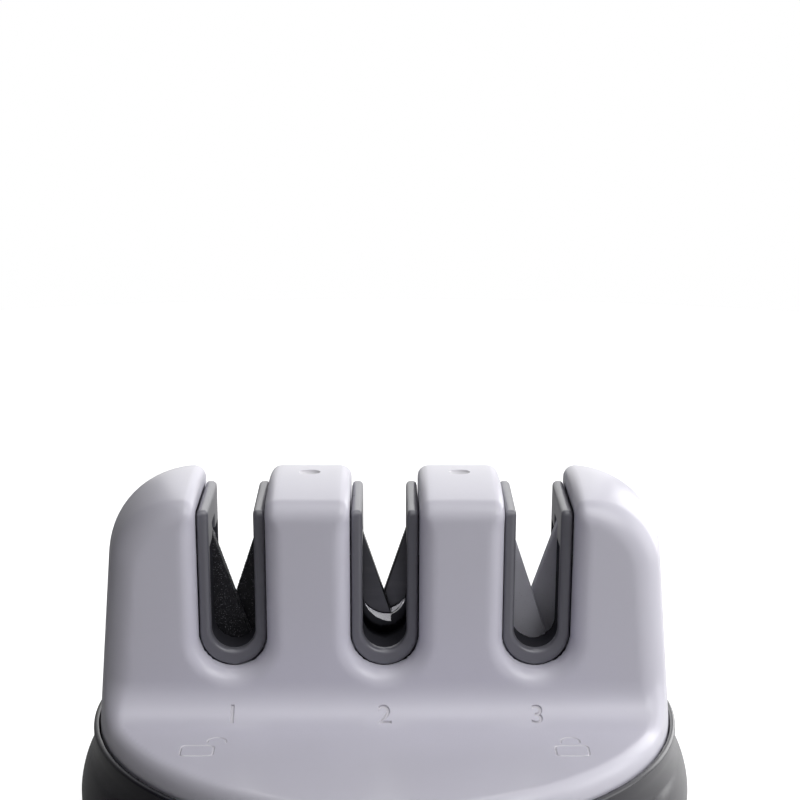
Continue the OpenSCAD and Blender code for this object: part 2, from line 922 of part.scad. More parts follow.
module cup_stud() {
    color("silver") {
        translate([0, 0, stud_flange_low_z])
            cylinder(r = stud_flange_r, h = stud_flange_t);
        translate([0, 0, stud_flange_low_z])
            cylinder(r = stud_r, h = stud_top_z - stud_flange_low_z);
    }
}

module lift_slider() {
    color("whitesmoke")
        difference() {
            translate([0, 0, slider_low_z])
                cylinder(r = slider_r, h = slider_high_z - slider_low_z);
            translate([0, 0, slider_low_z - over])
                cylinder(r = stud_r + seat_gap, h = stud_top_z + over - slider_low_z + seat_gap);
            translate([0, 0, pin_z])
                rotate([0, 90, 0])
                    cylinder(r = pin_r + seat_gap, h = (slider_r + over) * 2, center = true);
        }
}

module cross_pin() {
    color("silver")
        translate([0, 0, pin_z])
            rotate([0, 90, 0])
                cylinder(r = pin_r, h = pin_reach * 2, center = true);
}

// Return spring between the slider and the tube's cap
module return_spring() {
    low = slider_high_z + spring_wire_r + seat_gap;
    high = spring_high_z - spring_wire_r - seat_gap;
    rings = coil_rings * spring_turns;
    pitch = (high - low) / spring_turns;
    lead = atan(pitch / (2 * PI * spring_r));
    echo(least_coil_gap = pitch * cos(lead) - spring_wire_r * 2);
    points = [for (i = [0 : rings]) let (a = 360 * i / coil_rings, z = low + (high - low) * i / rings)
        for (k = [0 : coil_sides - 1]) let (b = 360 * k / coil_sides,
            r = spring_r + spring_wire_r * cos(b),
            up = spring_wire_r * sin(b))
        [r * cos(a) + up * sin(lead) * sin(a), r * sin(a) - up * sin(lead) * cos(a), z + up * cos(lead)]];
    walls = [for (i = [0 : rings - 1]) for (k = [0 : coil_sides - 1]) let (n = (k + 1) % coil_sides,
        b = i * coil_sides) each [
        [b + k, b + coil_sides + n, b + n],
        [b + k, b + coil_sides + k, b + coil_sides + n]]];
    first = [for (k = [0 : coil_sides - 1]) k];
    last = [for (k = [coil_sides - 1 : -1 : 0]) rings * coil_sides + k];
    color("silver")
        polyhedron(points = points, faces = concat(walls, [first], [last]));
}

head_shell();
liner_front();
liner_rear();
liner_screws();
coarse_plate_left();
coarse_plate_right();
carbide_blade_left();
carbide_blade_right();
ceramic_plate_left();
ceramic_plate_right();
inner_deck();
head_screws();
lock_ring();
cam_ring();
glide_washer();
pressure_plate();
pressure_screws();
suction_cup();
cup_stud();
lift_slider();
cross_pin();
return_spring();
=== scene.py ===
import bmesh
import bpy
import json
import math
import numpy as np
from mathutils import Matrix, Vector


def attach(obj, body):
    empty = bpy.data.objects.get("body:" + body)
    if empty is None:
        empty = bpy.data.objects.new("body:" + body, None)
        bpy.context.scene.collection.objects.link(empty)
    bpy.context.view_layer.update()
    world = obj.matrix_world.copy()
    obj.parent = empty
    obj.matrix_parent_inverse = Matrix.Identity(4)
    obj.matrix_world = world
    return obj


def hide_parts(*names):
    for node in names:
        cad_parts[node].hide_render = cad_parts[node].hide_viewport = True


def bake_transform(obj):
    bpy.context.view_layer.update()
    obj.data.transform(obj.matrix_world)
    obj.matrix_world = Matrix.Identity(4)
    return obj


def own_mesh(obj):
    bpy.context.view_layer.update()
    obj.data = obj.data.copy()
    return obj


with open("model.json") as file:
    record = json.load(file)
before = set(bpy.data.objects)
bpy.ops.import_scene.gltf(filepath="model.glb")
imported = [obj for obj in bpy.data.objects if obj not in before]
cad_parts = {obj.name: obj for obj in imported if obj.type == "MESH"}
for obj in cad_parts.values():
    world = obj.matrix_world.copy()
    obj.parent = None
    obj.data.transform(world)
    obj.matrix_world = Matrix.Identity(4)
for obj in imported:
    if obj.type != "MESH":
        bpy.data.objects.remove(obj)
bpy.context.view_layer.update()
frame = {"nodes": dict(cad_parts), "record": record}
mm = 0.001


# surfaces from distance fields, all lengths in mm

def roundMax(a, b, r):
    u = np.maximum(a + r, 0)
    v = np.maximum(b + r, 0)
    return np.minimum(np.maximum(a, b), -r) + np.sqrt(u * u + v * v)


def roundMin(a, b, r):
    return -roundMax(-a, -b, r)


def ease(t):
    t = np.clip(t, 0, 1)
    return t * t * (3 - 2 * t)


def fieldNormals(field, p, h=0.02):
    g = np.empty_like(p)
    for k in range(3):
        step = np.zeros(3)
        step[k] = h
        g[:, k] = (field(*(p + step).T) - field(*(p - step).T)) / (2 * h)
    return g


def stepOut(field, p, g, least=0.05):
    # along the gradient g to the surface in one step, kept short where the field is flat
    return g * (field(*p.T) / np.maximum((g * g).sum(1), least))[:, None]


def settle(field, p, rounds=4, most=0.6):
    for _ in range(rounds):
        move = stepOut(field, p, fieldNormals(field, p))
        size = np.sqrt((move * move).sum(1))
        p = p - move * np.minimum(1, most / np.maximum(size, 1e-9))[:, None]
    return p


def netSurface(field, axes, warp=None, wrap=False):
    # surface nets on a grid; warp turns grid coordinates into x, y, z
    warp = warp or (lambda a, b, c: (a, b, c))
    d = field(*warp(*np.meshgrid(*axes, indexing="ij")))
    if wrap:
        d = np.concatenate([d, d[:1]])
        axes = [np.append(axes[0], 2 * axes[0][-1] - axes[0][-2]), axes[1], axes[2]]
    inside = d < 0
    cells = [n - 1 for n in d.shape]
    corners = [(i, j, k) for i in (0, 1) for j in (0, 1) for k in (0, 1)]
    part = {c: tuple(slice(c[a], c[a] + cells[a]) for a in range(3)) for c in corners}
    total = sum(inside[part[c]].astype(np.int8) for c in corners)
    active = (total > 0) & (total < 8)
    ids = np.full(active.shape, -1, np.int64)
    ids[active] = np.arange(active.sum())
    value = {c: d[part[c]][active] for c in corners}
    place = np.zeros((active.sum(), 3))
    count = np.zeros(active.sum())
    for c in corners:
        for a in range(3):
            if c[a] == 0:
                e = list(c)
                e[a] = 1
                d0, d1 = value[c], value[tuple(e)]
                cross = (d0 < 0) != (d1 < 0)
                t = np.where(cross, d0 / np.where(cross, d0 - d1, 1), 0)
                spot = np.tile(np.array(c, float), (len(t), 1))
                spot[:, a] = t
                place += spot * cross[:, None]
                count += cross
    place = np.argwhere(active) + place / count[:, None]
    flat = [np.interp(place[:, a], np.arange(len(axes[a])), axes[a]) for a in range(3)]
    points = settle(field, np.stack(warp(*flat), 1))
    faces = []
    for a in range(3):
        b, c = (a + 1) % 3, (a + 2) % 3
        low = np.take(inside, range(cells[a]), a)
        high = np.take(inside, range(1, cells[a] + 1), a)
        edge = np.argwhere(low != high)
        ok = np.ones(len(edge), bool)
        for q in (b, c):
            if wrap and q == 0:
                ok &= edge[:, q] < cells[q]
            else:
                ok &= (edge[:, q] > 0) & (edge[:, q] < cells[q])
        edge = edge[ok]
        ring = []
        for db, dc in ((1, 1), (0, 1), (0, 0), (1, 0)):
            cell = edge.copy()
            cell[:, b] -= db
            cell[:, c] -= dc
            cell[:, 0] %= cells[0]
            ring.append(ids[tuple(cell.T)])
        quad = np.stack(ring, 1)
        out = low[tuple(edge.T)]
        quad[~out] = quad[~out][:, ::-1]
        faces.append(quad)
    return points, np.concatenate(faces)


def span(low, high, step):
    return np.linspace(low, high, int(round((high - low) / step)) + 1)


def spans(*stops):
    # several spans in a row: start, step, next start, step and so on, and the end
    rows = [span(stops[i], stops[i + 2], stops[i + 1])[:-1] for i in range(0, len(stops) - 2, 2)]
    return np.append(np.concatenate(rows), stops[-1])


def addMesh(name, points, faces, normals=None):
    mesh = bpy.data.meshes.new(name)
    mesh.from_pydata((np.asarray(points, float) * mm).tolist(), [], [list(map(int, f)) for f in faces])
    mesh.shade_smooth()
    if normals is not None:
        mesh.normals_split_custom_set_from_vertices(normals.tolist())
    obj = bpy.data.objects.new(name, mesh)
    bpy.context.scene.collection.objects.link(obj)
    return obj


def unit(v):
    return v / np.maximum(np.linalg.norm(v, axis=1), 1e-9)[:, None]


def closeMiddle(points, faces):
    # a polar grid leaves a small hole round the axis in each surface that crosses it
    edges = np.concatenate([faces[:, [k, (k + 1) % 4]] for k in range(4)])
    first, count = np.unique(np.sort(edges, 1), axis=0, return_index=True, return_counts=True)[1:]
    rim = edges[first[count == 1]]
    faces = faces.tolist()
    middle = points[rim[:, 0], 2].mean()
    for part in (rim[points[rim[:, 0], 2] < middle], rim[points[rim[:, 0], 2] >= middle]):
        faces += [[b, a, len(points)] for a, b in part]
        points = np.vstack([points, [0, 0, points[part[:, 0], 2].mean()]])
    return points, faces


def fieldPiece(name, field, axes, warp=None, wrap=False, closed=False):
    points, faces = netSurface(field, axes, warp, wrap)
    if closed:
        points, faces = closeMiddle(points, faces)
    normals = unit(fieldNormals(field, points))
    points[:, 2] = np.maximum(points[:, 2], 0)
    print(name, len(points), "points")
    return addMesh(name, points, faces, normals)


def flatPiece(name, field, axes, reach, rimShare=0.95):
    # field without its flat side at y = 0, where the points are drawn to the plane and the rim stays crisp
    points, faces = netSurface(lambda x, y, z: np.maximum(field(x, y, z), -y), axes)
    near = points[:, 1] < reach
    points[near, 1] = 0
    rim = near & (field(*points.T) > -rimShare * reach)
    flat = points[rim]
    for _ in range(4):
        g = fieldNormals(field, flat)
        g[:, 1] = 0
        flat = flat - stepOut(field, flat, g)
    points[rim] = flat
    normals = unit(fieldNormals(field, points))
    normals[near & ~rim] = (0, -1, 0)
    print(name, len(points), "points")
    return points, faces, normals


def polar(turn, z, r):
    return r * np.cos(turn), r * np.sin(turn), z


def plainMesh(obj):
    view = bpy.context.evaluated_depsgraph_get()
    return bpy.data.meshes.new_from_object(obj.evaluated_get(view))


def standIn(piece, body, slotName, *nodes):
    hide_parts(*nodes)
    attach(piece, body)


# shared shader groups: they put out only values and masks

def addInputs(tree, values):
    kinds = {int: "NodeSocketInt", float: "NodeSocketFloat", tuple: "NodeSocketVector"}
    for label, value in values.items():
        tree.interface.new_socket(label, in_out="INPUT", socket_type=kinds[type(value)]).default_value = value


def startGroup(name, inputs, outputs):
    tree = bpy.data.node_groups.new(name, "ShaderNodeTree")
    addInputs(tree, inputs)
    for label in outputs:
        tree.interface.new_socket(label, in_out="OUTPUT", socket_type="NodeSocketFloat")
    return tree, tree.nodes.new("NodeGroupInput").outputs, tree.nodes.new("NodeGroupOutput").inputs


def addNode(tree, kind, inputs=None, **settings):
    node = tree.nodes.new(kind)
    for key, value in settings.items():
        setattr(node, key, value)
    for key, value in (inputs or {}).items():
        if isinstance(value, bpy.types.NodeSocket):
            tree.links.new(value, node.inputs[key])
        else:
            node.inputs[key].default_value = value
    return node


def calc(tree, operation, *terms):
    return addNode(tree, "ShaderNodeMath", dict(enumerate(terms)), operation=operation).outputs[0]


def grainGroup():
    tree, given, out = startGroup("mouldGrain", {
        "Cloud Scale": 60.0, "Fine Scale": 1500.0, "Stretch": (1, 1, 1)}, ["Cloud", "Height"])
    place = addNode(tree, "ShaderNodeTexCoord").outputs["Object"]
    drawn = addNode(tree, "ShaderNodeVectorMath", {0: place, 1: given["Stretch"]}, operation="MULTIPLY")
    cloud = addNode(tree, "ShaderNodeTexNoise", {
        "Vector": drawn.outputs[0], "Scale": given["Cloud Scale"], "Detail": 3.0, "Roughness": 0.55})
    fine = addNode(tree, "ShaderNodeTexNoise", {
        "Vector": drawn.outputs[0], "Scale": given["Fine Scale"], "Detail": 2.0, "Roughness": 0.6})
    tree.links.new(cloud.outputs["Fac"], out["Cloud"])
    tree.links.new(fine.outputs["Fac"], out["Height"])
    return tree


def speckGroup():
    tree, given, out = startGroup("specks", {"Scale": 2000.0, "Share": 0.1, "Size": 0.35}, ["Mask"])
    place = addNode(tree, "ShaderNodeTexCoord").outputs["Object"]
    cells = addNode(tree, "ShaderNodeTexVoronoi", {"Vector": place, "Scale": given["Scale"]})
    pick = addNode(tree, "ShaderNodeSeparateColor", {0: cells.outputs["Color"]})
    chosen = calc(tree, "LESS_THAN", pick.outputs[0], given["Share"])
    near = calc(tree, "LESS_THAN", cells.outputs["Distance"], given["Size"])
    tree.links.new(calc(tree, "MULTIPLY", chosen, near), out["Mask"])
    return tree


def wearGroup():
    tree, given, out = startGroup("edgeWear", {"Start": 0.53, "End": 0.62, "Patches": 120.0}, ["Mask"])
    bend = addNode(tree, "ShaderNodeNewGeometry").outputs["Pointiness"]
    edge = addNode(tree, "ShaderNodeMapRange", {
        "Value": bend, "From Min": given["Start"], "From Max": given["End"]})
    place = addNode(tree, "ShaderNodeTexCoord").outputs["Object"]
    patch = addNode(tree, "ShaderNodeTexNoise", {"Vector": place, "Scale": given["Patches"], "Detail": 3.0})
    tree.links.new(calc(tree, "MULTIPLY", edge.outputs[0], patch.outputs["Fac"]), out["Mask"])
    return tree


def dustGroup():
    tree, given, out = startGroup("dust", {"Scale": 260.0}, ["Mask"])
    place = addNode(tree, "ShaderNodeTexCoord")
    up = addNode(tree, "ShaderNodeSeparateXYZ", {0: place.outputs["Normal"]})
    facing = addNode(tree, "ShaderNodeMapRange", {
        "Value": up.outputs["Z"], "From Min": 0.35, "From Max": 0.95})
    patch = addNode(tree, "ShaderNodeTexNoise", {
        "Vector": place.outputs["Object"], "Scale": given["Scale"], "Detail": 5.0, "Roughness": 0.7})
    spread = addNode(tree, "ShaderNodeMapRange", {
        "Value": patch.outputs["Fac"], "From Min": 0.48, "From Max": 0.75})
    tree.links.new(calc(tree, "MULTIPLY", facing.outputs[0], spread.outputs[0]), out["Mask"])
    return tree


grain, specks, wear, dust = grainGroup(), speckGroup(), wearGroup(), dustGroup()
dustColor = (0.6, 0.58, 0.55)


def useGroup(tree, group, values):
    return addNode(tree, "ShaderNodeGroup", values, node_tree=group)


def mixColor(tree, mask, amount, a, b):
    # a is a color or a socket; 6, 7 and 2 are the mix node's color sockets
    first = (*a, 1) if isinstance(a, tuple) else a
    share = calc(tree, "MULTIPLY", mask, amount)
    return addNode(tree, "ShaderNodeMix", {0: share, 6: first, 7: (*b, 1)}, data_type="RGBA").outputs[2]


def newMaterial(name, color, rough, shade=0.93, spread=0.05, cloud=60, fine=1500, stretch=(1, 1, 1),
                bump=0.004, metallic=0.0, shine=0.5, speck=None, worn=None, dusty=0.0):
    mat = bpy.data.materials.new(name)
    mat.use_nodes = True
    tree = mat.node_tree
    shader = tree.nodes["Principled BSDF"]
    shader.inputs["Metallic"].default_value = metallic
    shader.inputs["Specular IOR Level"].default_value = shine
    body = useGroup(tree, grain, {"Cloud Scale": cloud, "Fine Scale": fine, "Stretch": stretch})
    paint = mixColor(tree, body.outputs["Cloud"], 1.0, color, tuple(c * shade for c in color))
    if speck:
        dots = useGroup(tree, specks, {
            "Scale": speck["scale"], "Share": speck["share"], "Size": speck["size"]})
        paint = mixColor(tree, dots.outputs["Mask"], 1.0, paint, speck["color"])
    if worn:
        rubbed = useGroup(tree, wear, {"Start": worn["start"], "End": worn["end"]})
        paint = mixColor(tree, rubbed.outputs["Mask"], worn["amount"], paint, worn["color"])
    if dusty:
        film = useGroup(tree, dust, {})
        paint = mixColor(tree, film.outputs["Mask"], dusty, paint, dustColor)
    tree.links.new(paint, shader.inputs["Base Color"])
    gloss = addNode(tree, "ShaderNodeMapRange", {
        "Value": body.outputs["Cloud"], "To Min": rough - spread, "To Max": rough + spread})
    tree.links.new(gloss.outputs[0], shader.inputs["Roughness"])
    lift = addNode(tree, "ShaderNodeBump", {
        "Height": body.outputs["Height"], "Strength": 1.0, "Distance": bump * mm})
    tree.links.new(lift.outputs[0], shader.inputs["Normal"])
    return mat


finishes = {
    "head_white": dict(
        name="glossyWhite", color=(0.745, 0.73, 0.825), rough=0.3, shade=0.975, spread=0.03, cloud=45,
        fine=900, bump=0.0015, dusty=0.03),
    "liner_gray": dict(
        name="linerGray", color=(0.175, 0.174, 0.2), rough=0.3, fine=2600, bump=0.006,
        worn=dict(start=0.52, end=0.6, amount=0.3, color=(0.34, 0.34, 0.37)), dusty=0.05),
    "ring_gray": dict(
        name="ringGray", color=(0.015, 0.014, 0.022), rough=0.22, spread=0.03, cloud=35, fine=1400,
        bump=0.002, worn=dict(start=0.52, end=0.6, amount=0.1, color=(0.1, 0.1, 0.11)), dusty=0.01),
    "diamond_black": dict(
        name="diamondBlack", color=(0.014, 0.014, 0.018), rough=0.55, spread=0.15, cloud=700, fine=5200,
        bump=0.03, shine=0.3, speck=dict(scale=3800, share=0.16, size=0.34, color=(0.14, 0.14, 0.16))),
    "carbide_steel": dict(
        name="carbideSteel", color=(0.12, 0.12, 0.135), rough=0.36, shade=0.75, spread=0.08, cloud=300,
        fine=1300, stretch=(0.12, 1, 3), bump=0.004, metallic=1.0),
    "ceramic_gray": dict(
        name="ceramicGray", color=(0.66, 0.657, 0.73), rough=0.52, shade=0.85, cloud=240, fine=4200,
        bump=0.01, speck=dict(scale=3000, share=0.1, size=0.32, color=(0.54, 0.54, 0.59))),
    "inner_plastic": dict(
        name="innerPlastic", color=(0.09, 0.09, 0.1), rough=0.5, fine=1800, bump=0.01, dusty=0.05),
    "slide_plastic": dict(
        name="slidePlastic", color=(0.8, 0.8, 0.77), rough=0.36, shade=0.96, fine=1600, bump=0.004),
    "cup_rubber": dict(
        name="cupRubber", color=(0.075, 0.075, 0.085), rough=0.5, shade=0.85, spread=0.08, cloud=90,
        fine=2200, bump=0.012, dusty=0.1),
    "steel": dict(
        name="steel", color=(0.55, 0.55, 0.57), rough=0.28, shade=0.85, spread=0.08, cloud=260, fine=900,
        stretch=(1, 1, 5), bump=0.003, metallic=1.0),
}
materials = {slotName: newMaterial(**settings) for slotName, settings in finishes.items()}
markMaterial = newMaterial("markedWhite", (0.74, 0.72, 0.78), 0.22, spread=0.03, cloud=45, fine=900,
                           bump=0.0015)
# painted shade: a dark material for the liner's inner throat, standing in for the shadow inside the slot
paintedShadeMaterial = newMaterial("linerPaintedShade", (0.05, 0.05, 0.06), 0.8, cloud=200, fine=2600, bump=0.006,
                             shine=0)
groundMaterial = newMaterial("groundCarbide", (0.9, 0.9, 0.95), 0.2, shade=0.85, cloud=400, fine=1500,
                             stretch=(0.2, 1, 3), bump=0.002, metallic=1.0)
grainMaterial = newMaterial("diamondGrain", (0.36, 0.36, 0.4), 0.22, shade=0.2, spread=0.12, cloud=5000,
                            metallic=0.6)
print("materials", len(bpy.data.materials))


def dress(obj, *mats):
    obj.data.materials.clear()
    for mat in mats:
        obj.data.materials.append(mat)


for row in frame["record"]["subparts"]:
    dress(frame["nodes"][row["node"]], materials[row["material_slot"]])


# head shell

head = {
    "top": 77.8, "crown": 60, "depth": 28.4, "radius": 52.8, "parting": 33, "draft": 5.3,
    "shoulder": 12, "apron": 36.8, "foot": 7, "rim": 2.2, "topEdge": 3, "corner": 4.2,
    "cornerFrom": 34, "cornerTo": 46, "halfway": 56, "wall": 2.3, "floor": 28.5, "hollowEdge": 0.3,
    "pitch": 27.192, "slotHalf": 6.15, "slotArc": 51.2, "slotEdge": 3, "crownEdge": 2, "crownFrom": 71,
    "crownTo": 75, "lip": 2.2, "lipDepth": 4.8, "bossPlace": 39.98, "bossRadius": 3.4, "bossFoot": 31,
    "cell": 0.8, "beside": 1.2, "below": 1.1, "above": 1.3,
}
draft = math.radians(head["draft"])
slots = [-head["pitch"], 0, head["pitch"]]


def easeFrom(low, high, value):
    return ease((value - low) / (high - low))


def headCone(x, y, z):
    side = head["radius"] - np.maximum(z - head["parting"], 0) * math.tan(draft)
    return (np.sqrt(x * x + y * y) - side) * math.cos(draft)


def headBody(x, y, z):
    cone = headCone(x, y, z)
    slab = np.abs(y) - head["depth"] / 2
    crown = np.sqrt(y * y + (z - head["top"] + head["crown"]) ** 2) - head["crown"]
    side = easeFrom(head["cornerFrom"], head["cornerTo"], np.abs(x))
    edge = head["topEdge"] + (head["corner"] - head["topEdge"]) * side
    tower = roundMax(roundMax(crown, cone, head["shoulder"]), slab, edge)
    over = z - head["apron"]
    rim = head["rim"] + (head["corner"] - head["rim"]) * ease(over / head["foot"])
    lower = roundMax(roundMin(slab, over, head["foot"]), cone, rim)
    return np.where(z > head["halfway"], tower, lower)


def uShape(dx, z, half, arc):
    return np.where(z > arc, np.abs(dx), np.sqrt(dx * dx + (z - arc) ** 2)) - half


def nearSlot(x):
    near = x - slots[1]
    for s in (slots[0], slots[2]):
        near = np.where(np.abs(x - s) < np.abs(near), x - s, near)
    return near


def headField(x, y, z):
    body = headBody(x, y, z)
    slot = uShape(nearSlot(x), z, head["slotHalf"], head["slotArc"])
    high = easeFrom(head["crownFrom"], head["crownTo"], z)
    skin = roundMax(body, -slot, head["slotEdge"] + (head["crownEdge"] - head["slotEdge"]) * high)
    within = np.minimum(head["depth"] / 2 - head["lipDepth"] - np.abs(y), head["top"] - head["lipDepth"] - z)
    lip = np.maximum(slot - head["lip"], within)
    hollow = roundMax(body + head["wall"], -lip, head["hollowEdge"])
    place = head["bossPlace"] / math.sqrt(2)
    boss = np.sqrt((np.abs(x) - place) ** 2 + (np.abs(y) - place) ** 2) - head["bossRadius"]
    hollow = np.maximum(hollow, -np.maximum(boss, head["bossFoot"] - z))
    return np.maximum(np.maximum(skin, -hollow), head["floor"] - z)


headReach = head["radius"] + head["beside"]
headAcross = span(-headReach, headReach, head["cell"])
headZ = span(head["floor"] - head["below"], head["top"] + head["above"], head["cell"])
headPiece = fieldPiece("headShell", headField, [headAcross, headAcross, headZ])


# numerals, lock signs and dishes, sunk into the head

marks = {
    "digitHeight": 3.9, "digitPlace": 52, "depth": 0.36, "clear": 0.6, "cut": 0.35, "bold": 0.018,
    "bevel": 0.035, "thick": 0.1, "proud": 0.03, "under": 0.04, "leastFaces": 500,
    "dish": 1.95, "dishDepth": 0.65, "dishPlace": 3, "dishNear": 0.05,
}
sign = {
    "x": 32.4, "y": -28.6, "scale": 1.35, "width": 0.45, "depth": 0.16, "half": 1.5, "top": 0.5, "foot": -1.5,
    "corner": 0.6, "bow": 1.2, "bowFoot": 2, "bowHeight": 2.5, "openShift": 2.3,
}


def sinkDigit(tools, text, centre):
    curve = bpy.data.curves.new("digit", "FONT")
    curve.body = text
    curve.extrude = marks["thick"]
    curve.bevel_depth = marks["bevel"]  # slanted walls that catch the light
    curve.bevel_resolution = 0
    curve.offset = marks["bold"] - marks["bevel"]
    curve.resolution_u = 6
    temp = bpy.data.objects.new("digit", curve)
    bpy.context.scene.collection.objects.link(temp)
    bm = bmesh.new()
    bm.from_mesh(plainMesh(temp))
    bpy.data.objects.remove(temp)
    bmesh.ops.remove_doubles(bm, verts=bm.verts, dist=1e-4)
    xs = [v.co.x for v in bm.verts]
    ys = [v.co.y for v in bm.verts]
    k = marks["digitHeight"] / (max(ys) - min(ys))
    for y in np.arange(min(ys) + marks["cut"] / k, max(ys) - 0.01, marks["cut"] / k):
        everything = bm.verts[:] + bm.edges[:] + bm.faces[:]
        bmesh.ops.bisect_plane(bm, geom=everything, plane_co=(0, y, 0), plane_no=(0, 1, 0))
    bmesh.ops.triangulate(bm, faces=bm.faces)
    # the digit's narrow back, the end of its slant and its front, as depths under the skin
    levels = [-marks["thick"] - marks["bevel"], -marks["thick"], marks["thick"]]
    depths = [marks["depth"], -marks["proud"], -marks["clear"]]
    for v in bm.verts:
        s = (v.co.x - (max(xs) + min(xs)) / 2) * k
        t = (v.co.y - (max(ys) + min(ys)) / 2) * k
        phi = math.radians(marks["digitPlace"]) - t / head["foot"]
        rho = head["foot"] + float(np.interp(v.co.z, levels, depths))
        v.co = (centre + s, rho * math.cos(phi) - head["depth"] / 2 - head["foot"],
                head["apron"] + head["foot"] - rho * math.sin(phi))
    mesh = bpy.data.meshes.new("digit")
    bm.to_mesh(mesh)
    tools.from_mesh(mesh)


def groove(bm, path, closed):
    # a tool with a V section along a flat path
    p = np.array(path, float)
    if closed:
        along = np.roll(p, -1, 0) - np.roll(p, 1, 0)
    else:
        along = np.gradient(p, axis=0)
    along = unit(along)
    side = np.stack([-along[:, 1], along[:, 0]], 1)
    top = head["apron"] + sign["depth"]
    rows = []
    for at, s in zip(p, side):
        rows.append([bm.verts.new((*(at + s * sign["width"]), top)),
                     bm.verts.new((*at, head["apron"] - sign["depth"])),
                     bm.verts.new((*(at - s * sign["width"]), top))])
    for i in range(len(rows) - (0 if closed else 1)):
        a, b = rows[i], rows[(i + 1) % len(rows)]
        for k in range(3):
            bm.faces.new((a[k], a[(k + 1) % 3], b[(k + 1) % 3], b[k]))
    if not closed:
        bm.faces.new(rows[0][::-1])
        bm.faces.new(rows[-1])


def arcPath(cx, cy, r, degrees):
    return [(cx + r * math.cos(math.radians(a)), cy + r * math.sin(math.radians(a))) for a in degrees]


def lockSign(tools, side, opened):
    half, top, foot = sign["half"], sign["top"], sign["foot"]
    body = []
    for cx, cy, first in ((half, top, 0), (-half, top, 90), (-half, foot, 180), (half, foot, 270)):
        body += arcPath(cx, cy, sign["corner"], [first + a for a in (0, 22, 45, 67, 90)])
    dx = sign["openShift"] if opened else 0
    bend = arcPath(dx, sign["bowHeight"], sign["bow"], range(0, 181, 12))
    bow = [(dx + sign["bow"], sign["bowFoot"]), *bend, (dx - sign["bow"], sign["bowFoot"])]
    for path, closed in ((body, True), (bow, False)):
        placed = [(side * sign["x"] + x * sign["scale"], sign["y"] + y * sign["scale"]) for x, y in path]
        groove(tools, placed, closed)


def sinkMarks(piece):
    tools = bmesh.new()
    for text, centre in zip("123", slots):
        sinkDigit(tools, text, centre)
    lockSign(tools, -1, True)
    lockSign(tools, 1, False)
    ball = (marks["dish"] ** 2 + marks["dishDepth"] ** 2) / (2 * marks["dishDepth"])
    crownAt = head["top"] - head["crown"] + math.sqrt(head["crown"] ** 2 - marks["dishPlace"] ** 2)
    ballAt = crownAt - marks["dishDepth"] + ball
    centres = [(side * head["pitch"] / 2, marks["dishPlace"], ballAt) for side in (-1, 1)]
    for centre in centres:
        bmesh.ops.create_uvsphere(tools, u_segments=72, v_segments=56, radius=ball,
                                  matrix=Matrix.Translation(centre))
    bmesh.ops.recalc_face_normals(tools, faces=tools.faces)
    tools.transform(Matrix.Scale(mm, 4))
    mesh = bpy.data.meshes.new("marks")
    tools.to_mesh(mesh)
    dress(piece, materials["head_white"], markMaterial)
    cutter = bpy.data.objects.new("marks", mesh)
    bpy.context.scene.collection.objects.link(cutter)
    before = len(piece.data.polygons)
    for solver in ("MANIFOLD", "EXACT"):
        carve = piece.modifiers.new("marks", "BOOLEAN")
        carve.operation = "DIFFERENCE"
        carve.solver = solver
        carve.object = cutter
        cut = plainMesh(piece)
        piece.modifiers.clear()
        print("marks cut with", solver, len(cut.polygons) - before, "more faces")
        if len(cut.polygons) - before > marks["leastFaces"]:
            break
    bpy.data.objects.remove(cutter)
    p = np.empty(len(cut.vertices) * 3)
    cut.vertices.foreach_get("co", p)
    p = p.reshape(-1, 3) / mm
    corner = np.empty(len(cut.loops), np.int64)
    cut.loops.foreach_get("vertex_index", corner)
    total = np.empty(len(cut.polygons), np.int64)
    cut.polygons.foreach_get("loop_total", total)
    flat = np.empty(len(cut.polygons) * 3)
    cut.polygons.foreach_get("normal", flat)
    owner = np.repeat(np.arange(len(total)), total)
    normals = unit(fieldNormals(headField, p))[corner]
    kind = np.zeros(len(total), np.int64)
    # a face with a corner under the skin is sunk
    np.maximum.at(kind, owner, (headField(*p.T) < -marks["under"])[corner])
    cut.polygons.foreach_set("material_index", kind)
    sunk = kind[owner] == 1
    normals[sunk] = flat.reshape(-1, 3)[owner][sunk]
    for centre in centres:
        dish = sunk & (np.linalg.norm(p[corner] - centre, axis=1) < ball + marks["dishNear"])
        normals[dish] = unit(np.array(centre) - p[corner][dish])
    cut.shade_smooth()
    cut.normals_split_custom_set(normals.tolist())
    piece.data = cut


sinkMarks(headPiece)
standIn(headPiece, "head", "head_white", "head_shell")


# slot liners, two halves

liner = {
    "half": 6, "arc": 51.2, "top": 74.2, "depth": 10.2, "throat": 3.95, "throatArc": 51.95, "edge": 0.45,
    "innerEdge": 0.8, "topEdge": 0.95, "pocket": 5.35, "pocketTop": 69.7, "pocketDepth": 2.9, "webLow": 47,
    "webHigh": 62, "web": 2.5, "boss": 3.2, "bossDepth": 8, "bossHeight": 55, "bossEnd": 40.826, "hole": 1.12,
    "headHole": 2.02, "headDepth": 1.4, "shadeHalf": 5.5, "shadeDepth": 8.6, "shadeTop": 67,
    "cell": 0.55, "x": (-44.6, 44.6), "y": (-0.7, 11.1), "z": (44.3, 75.1), "flatReach": 0.35,
}
bosses = [-liner["bossEnd"], -head["pitch"] / 2, head["pitch"] / 2, liner["bossEnd"]]


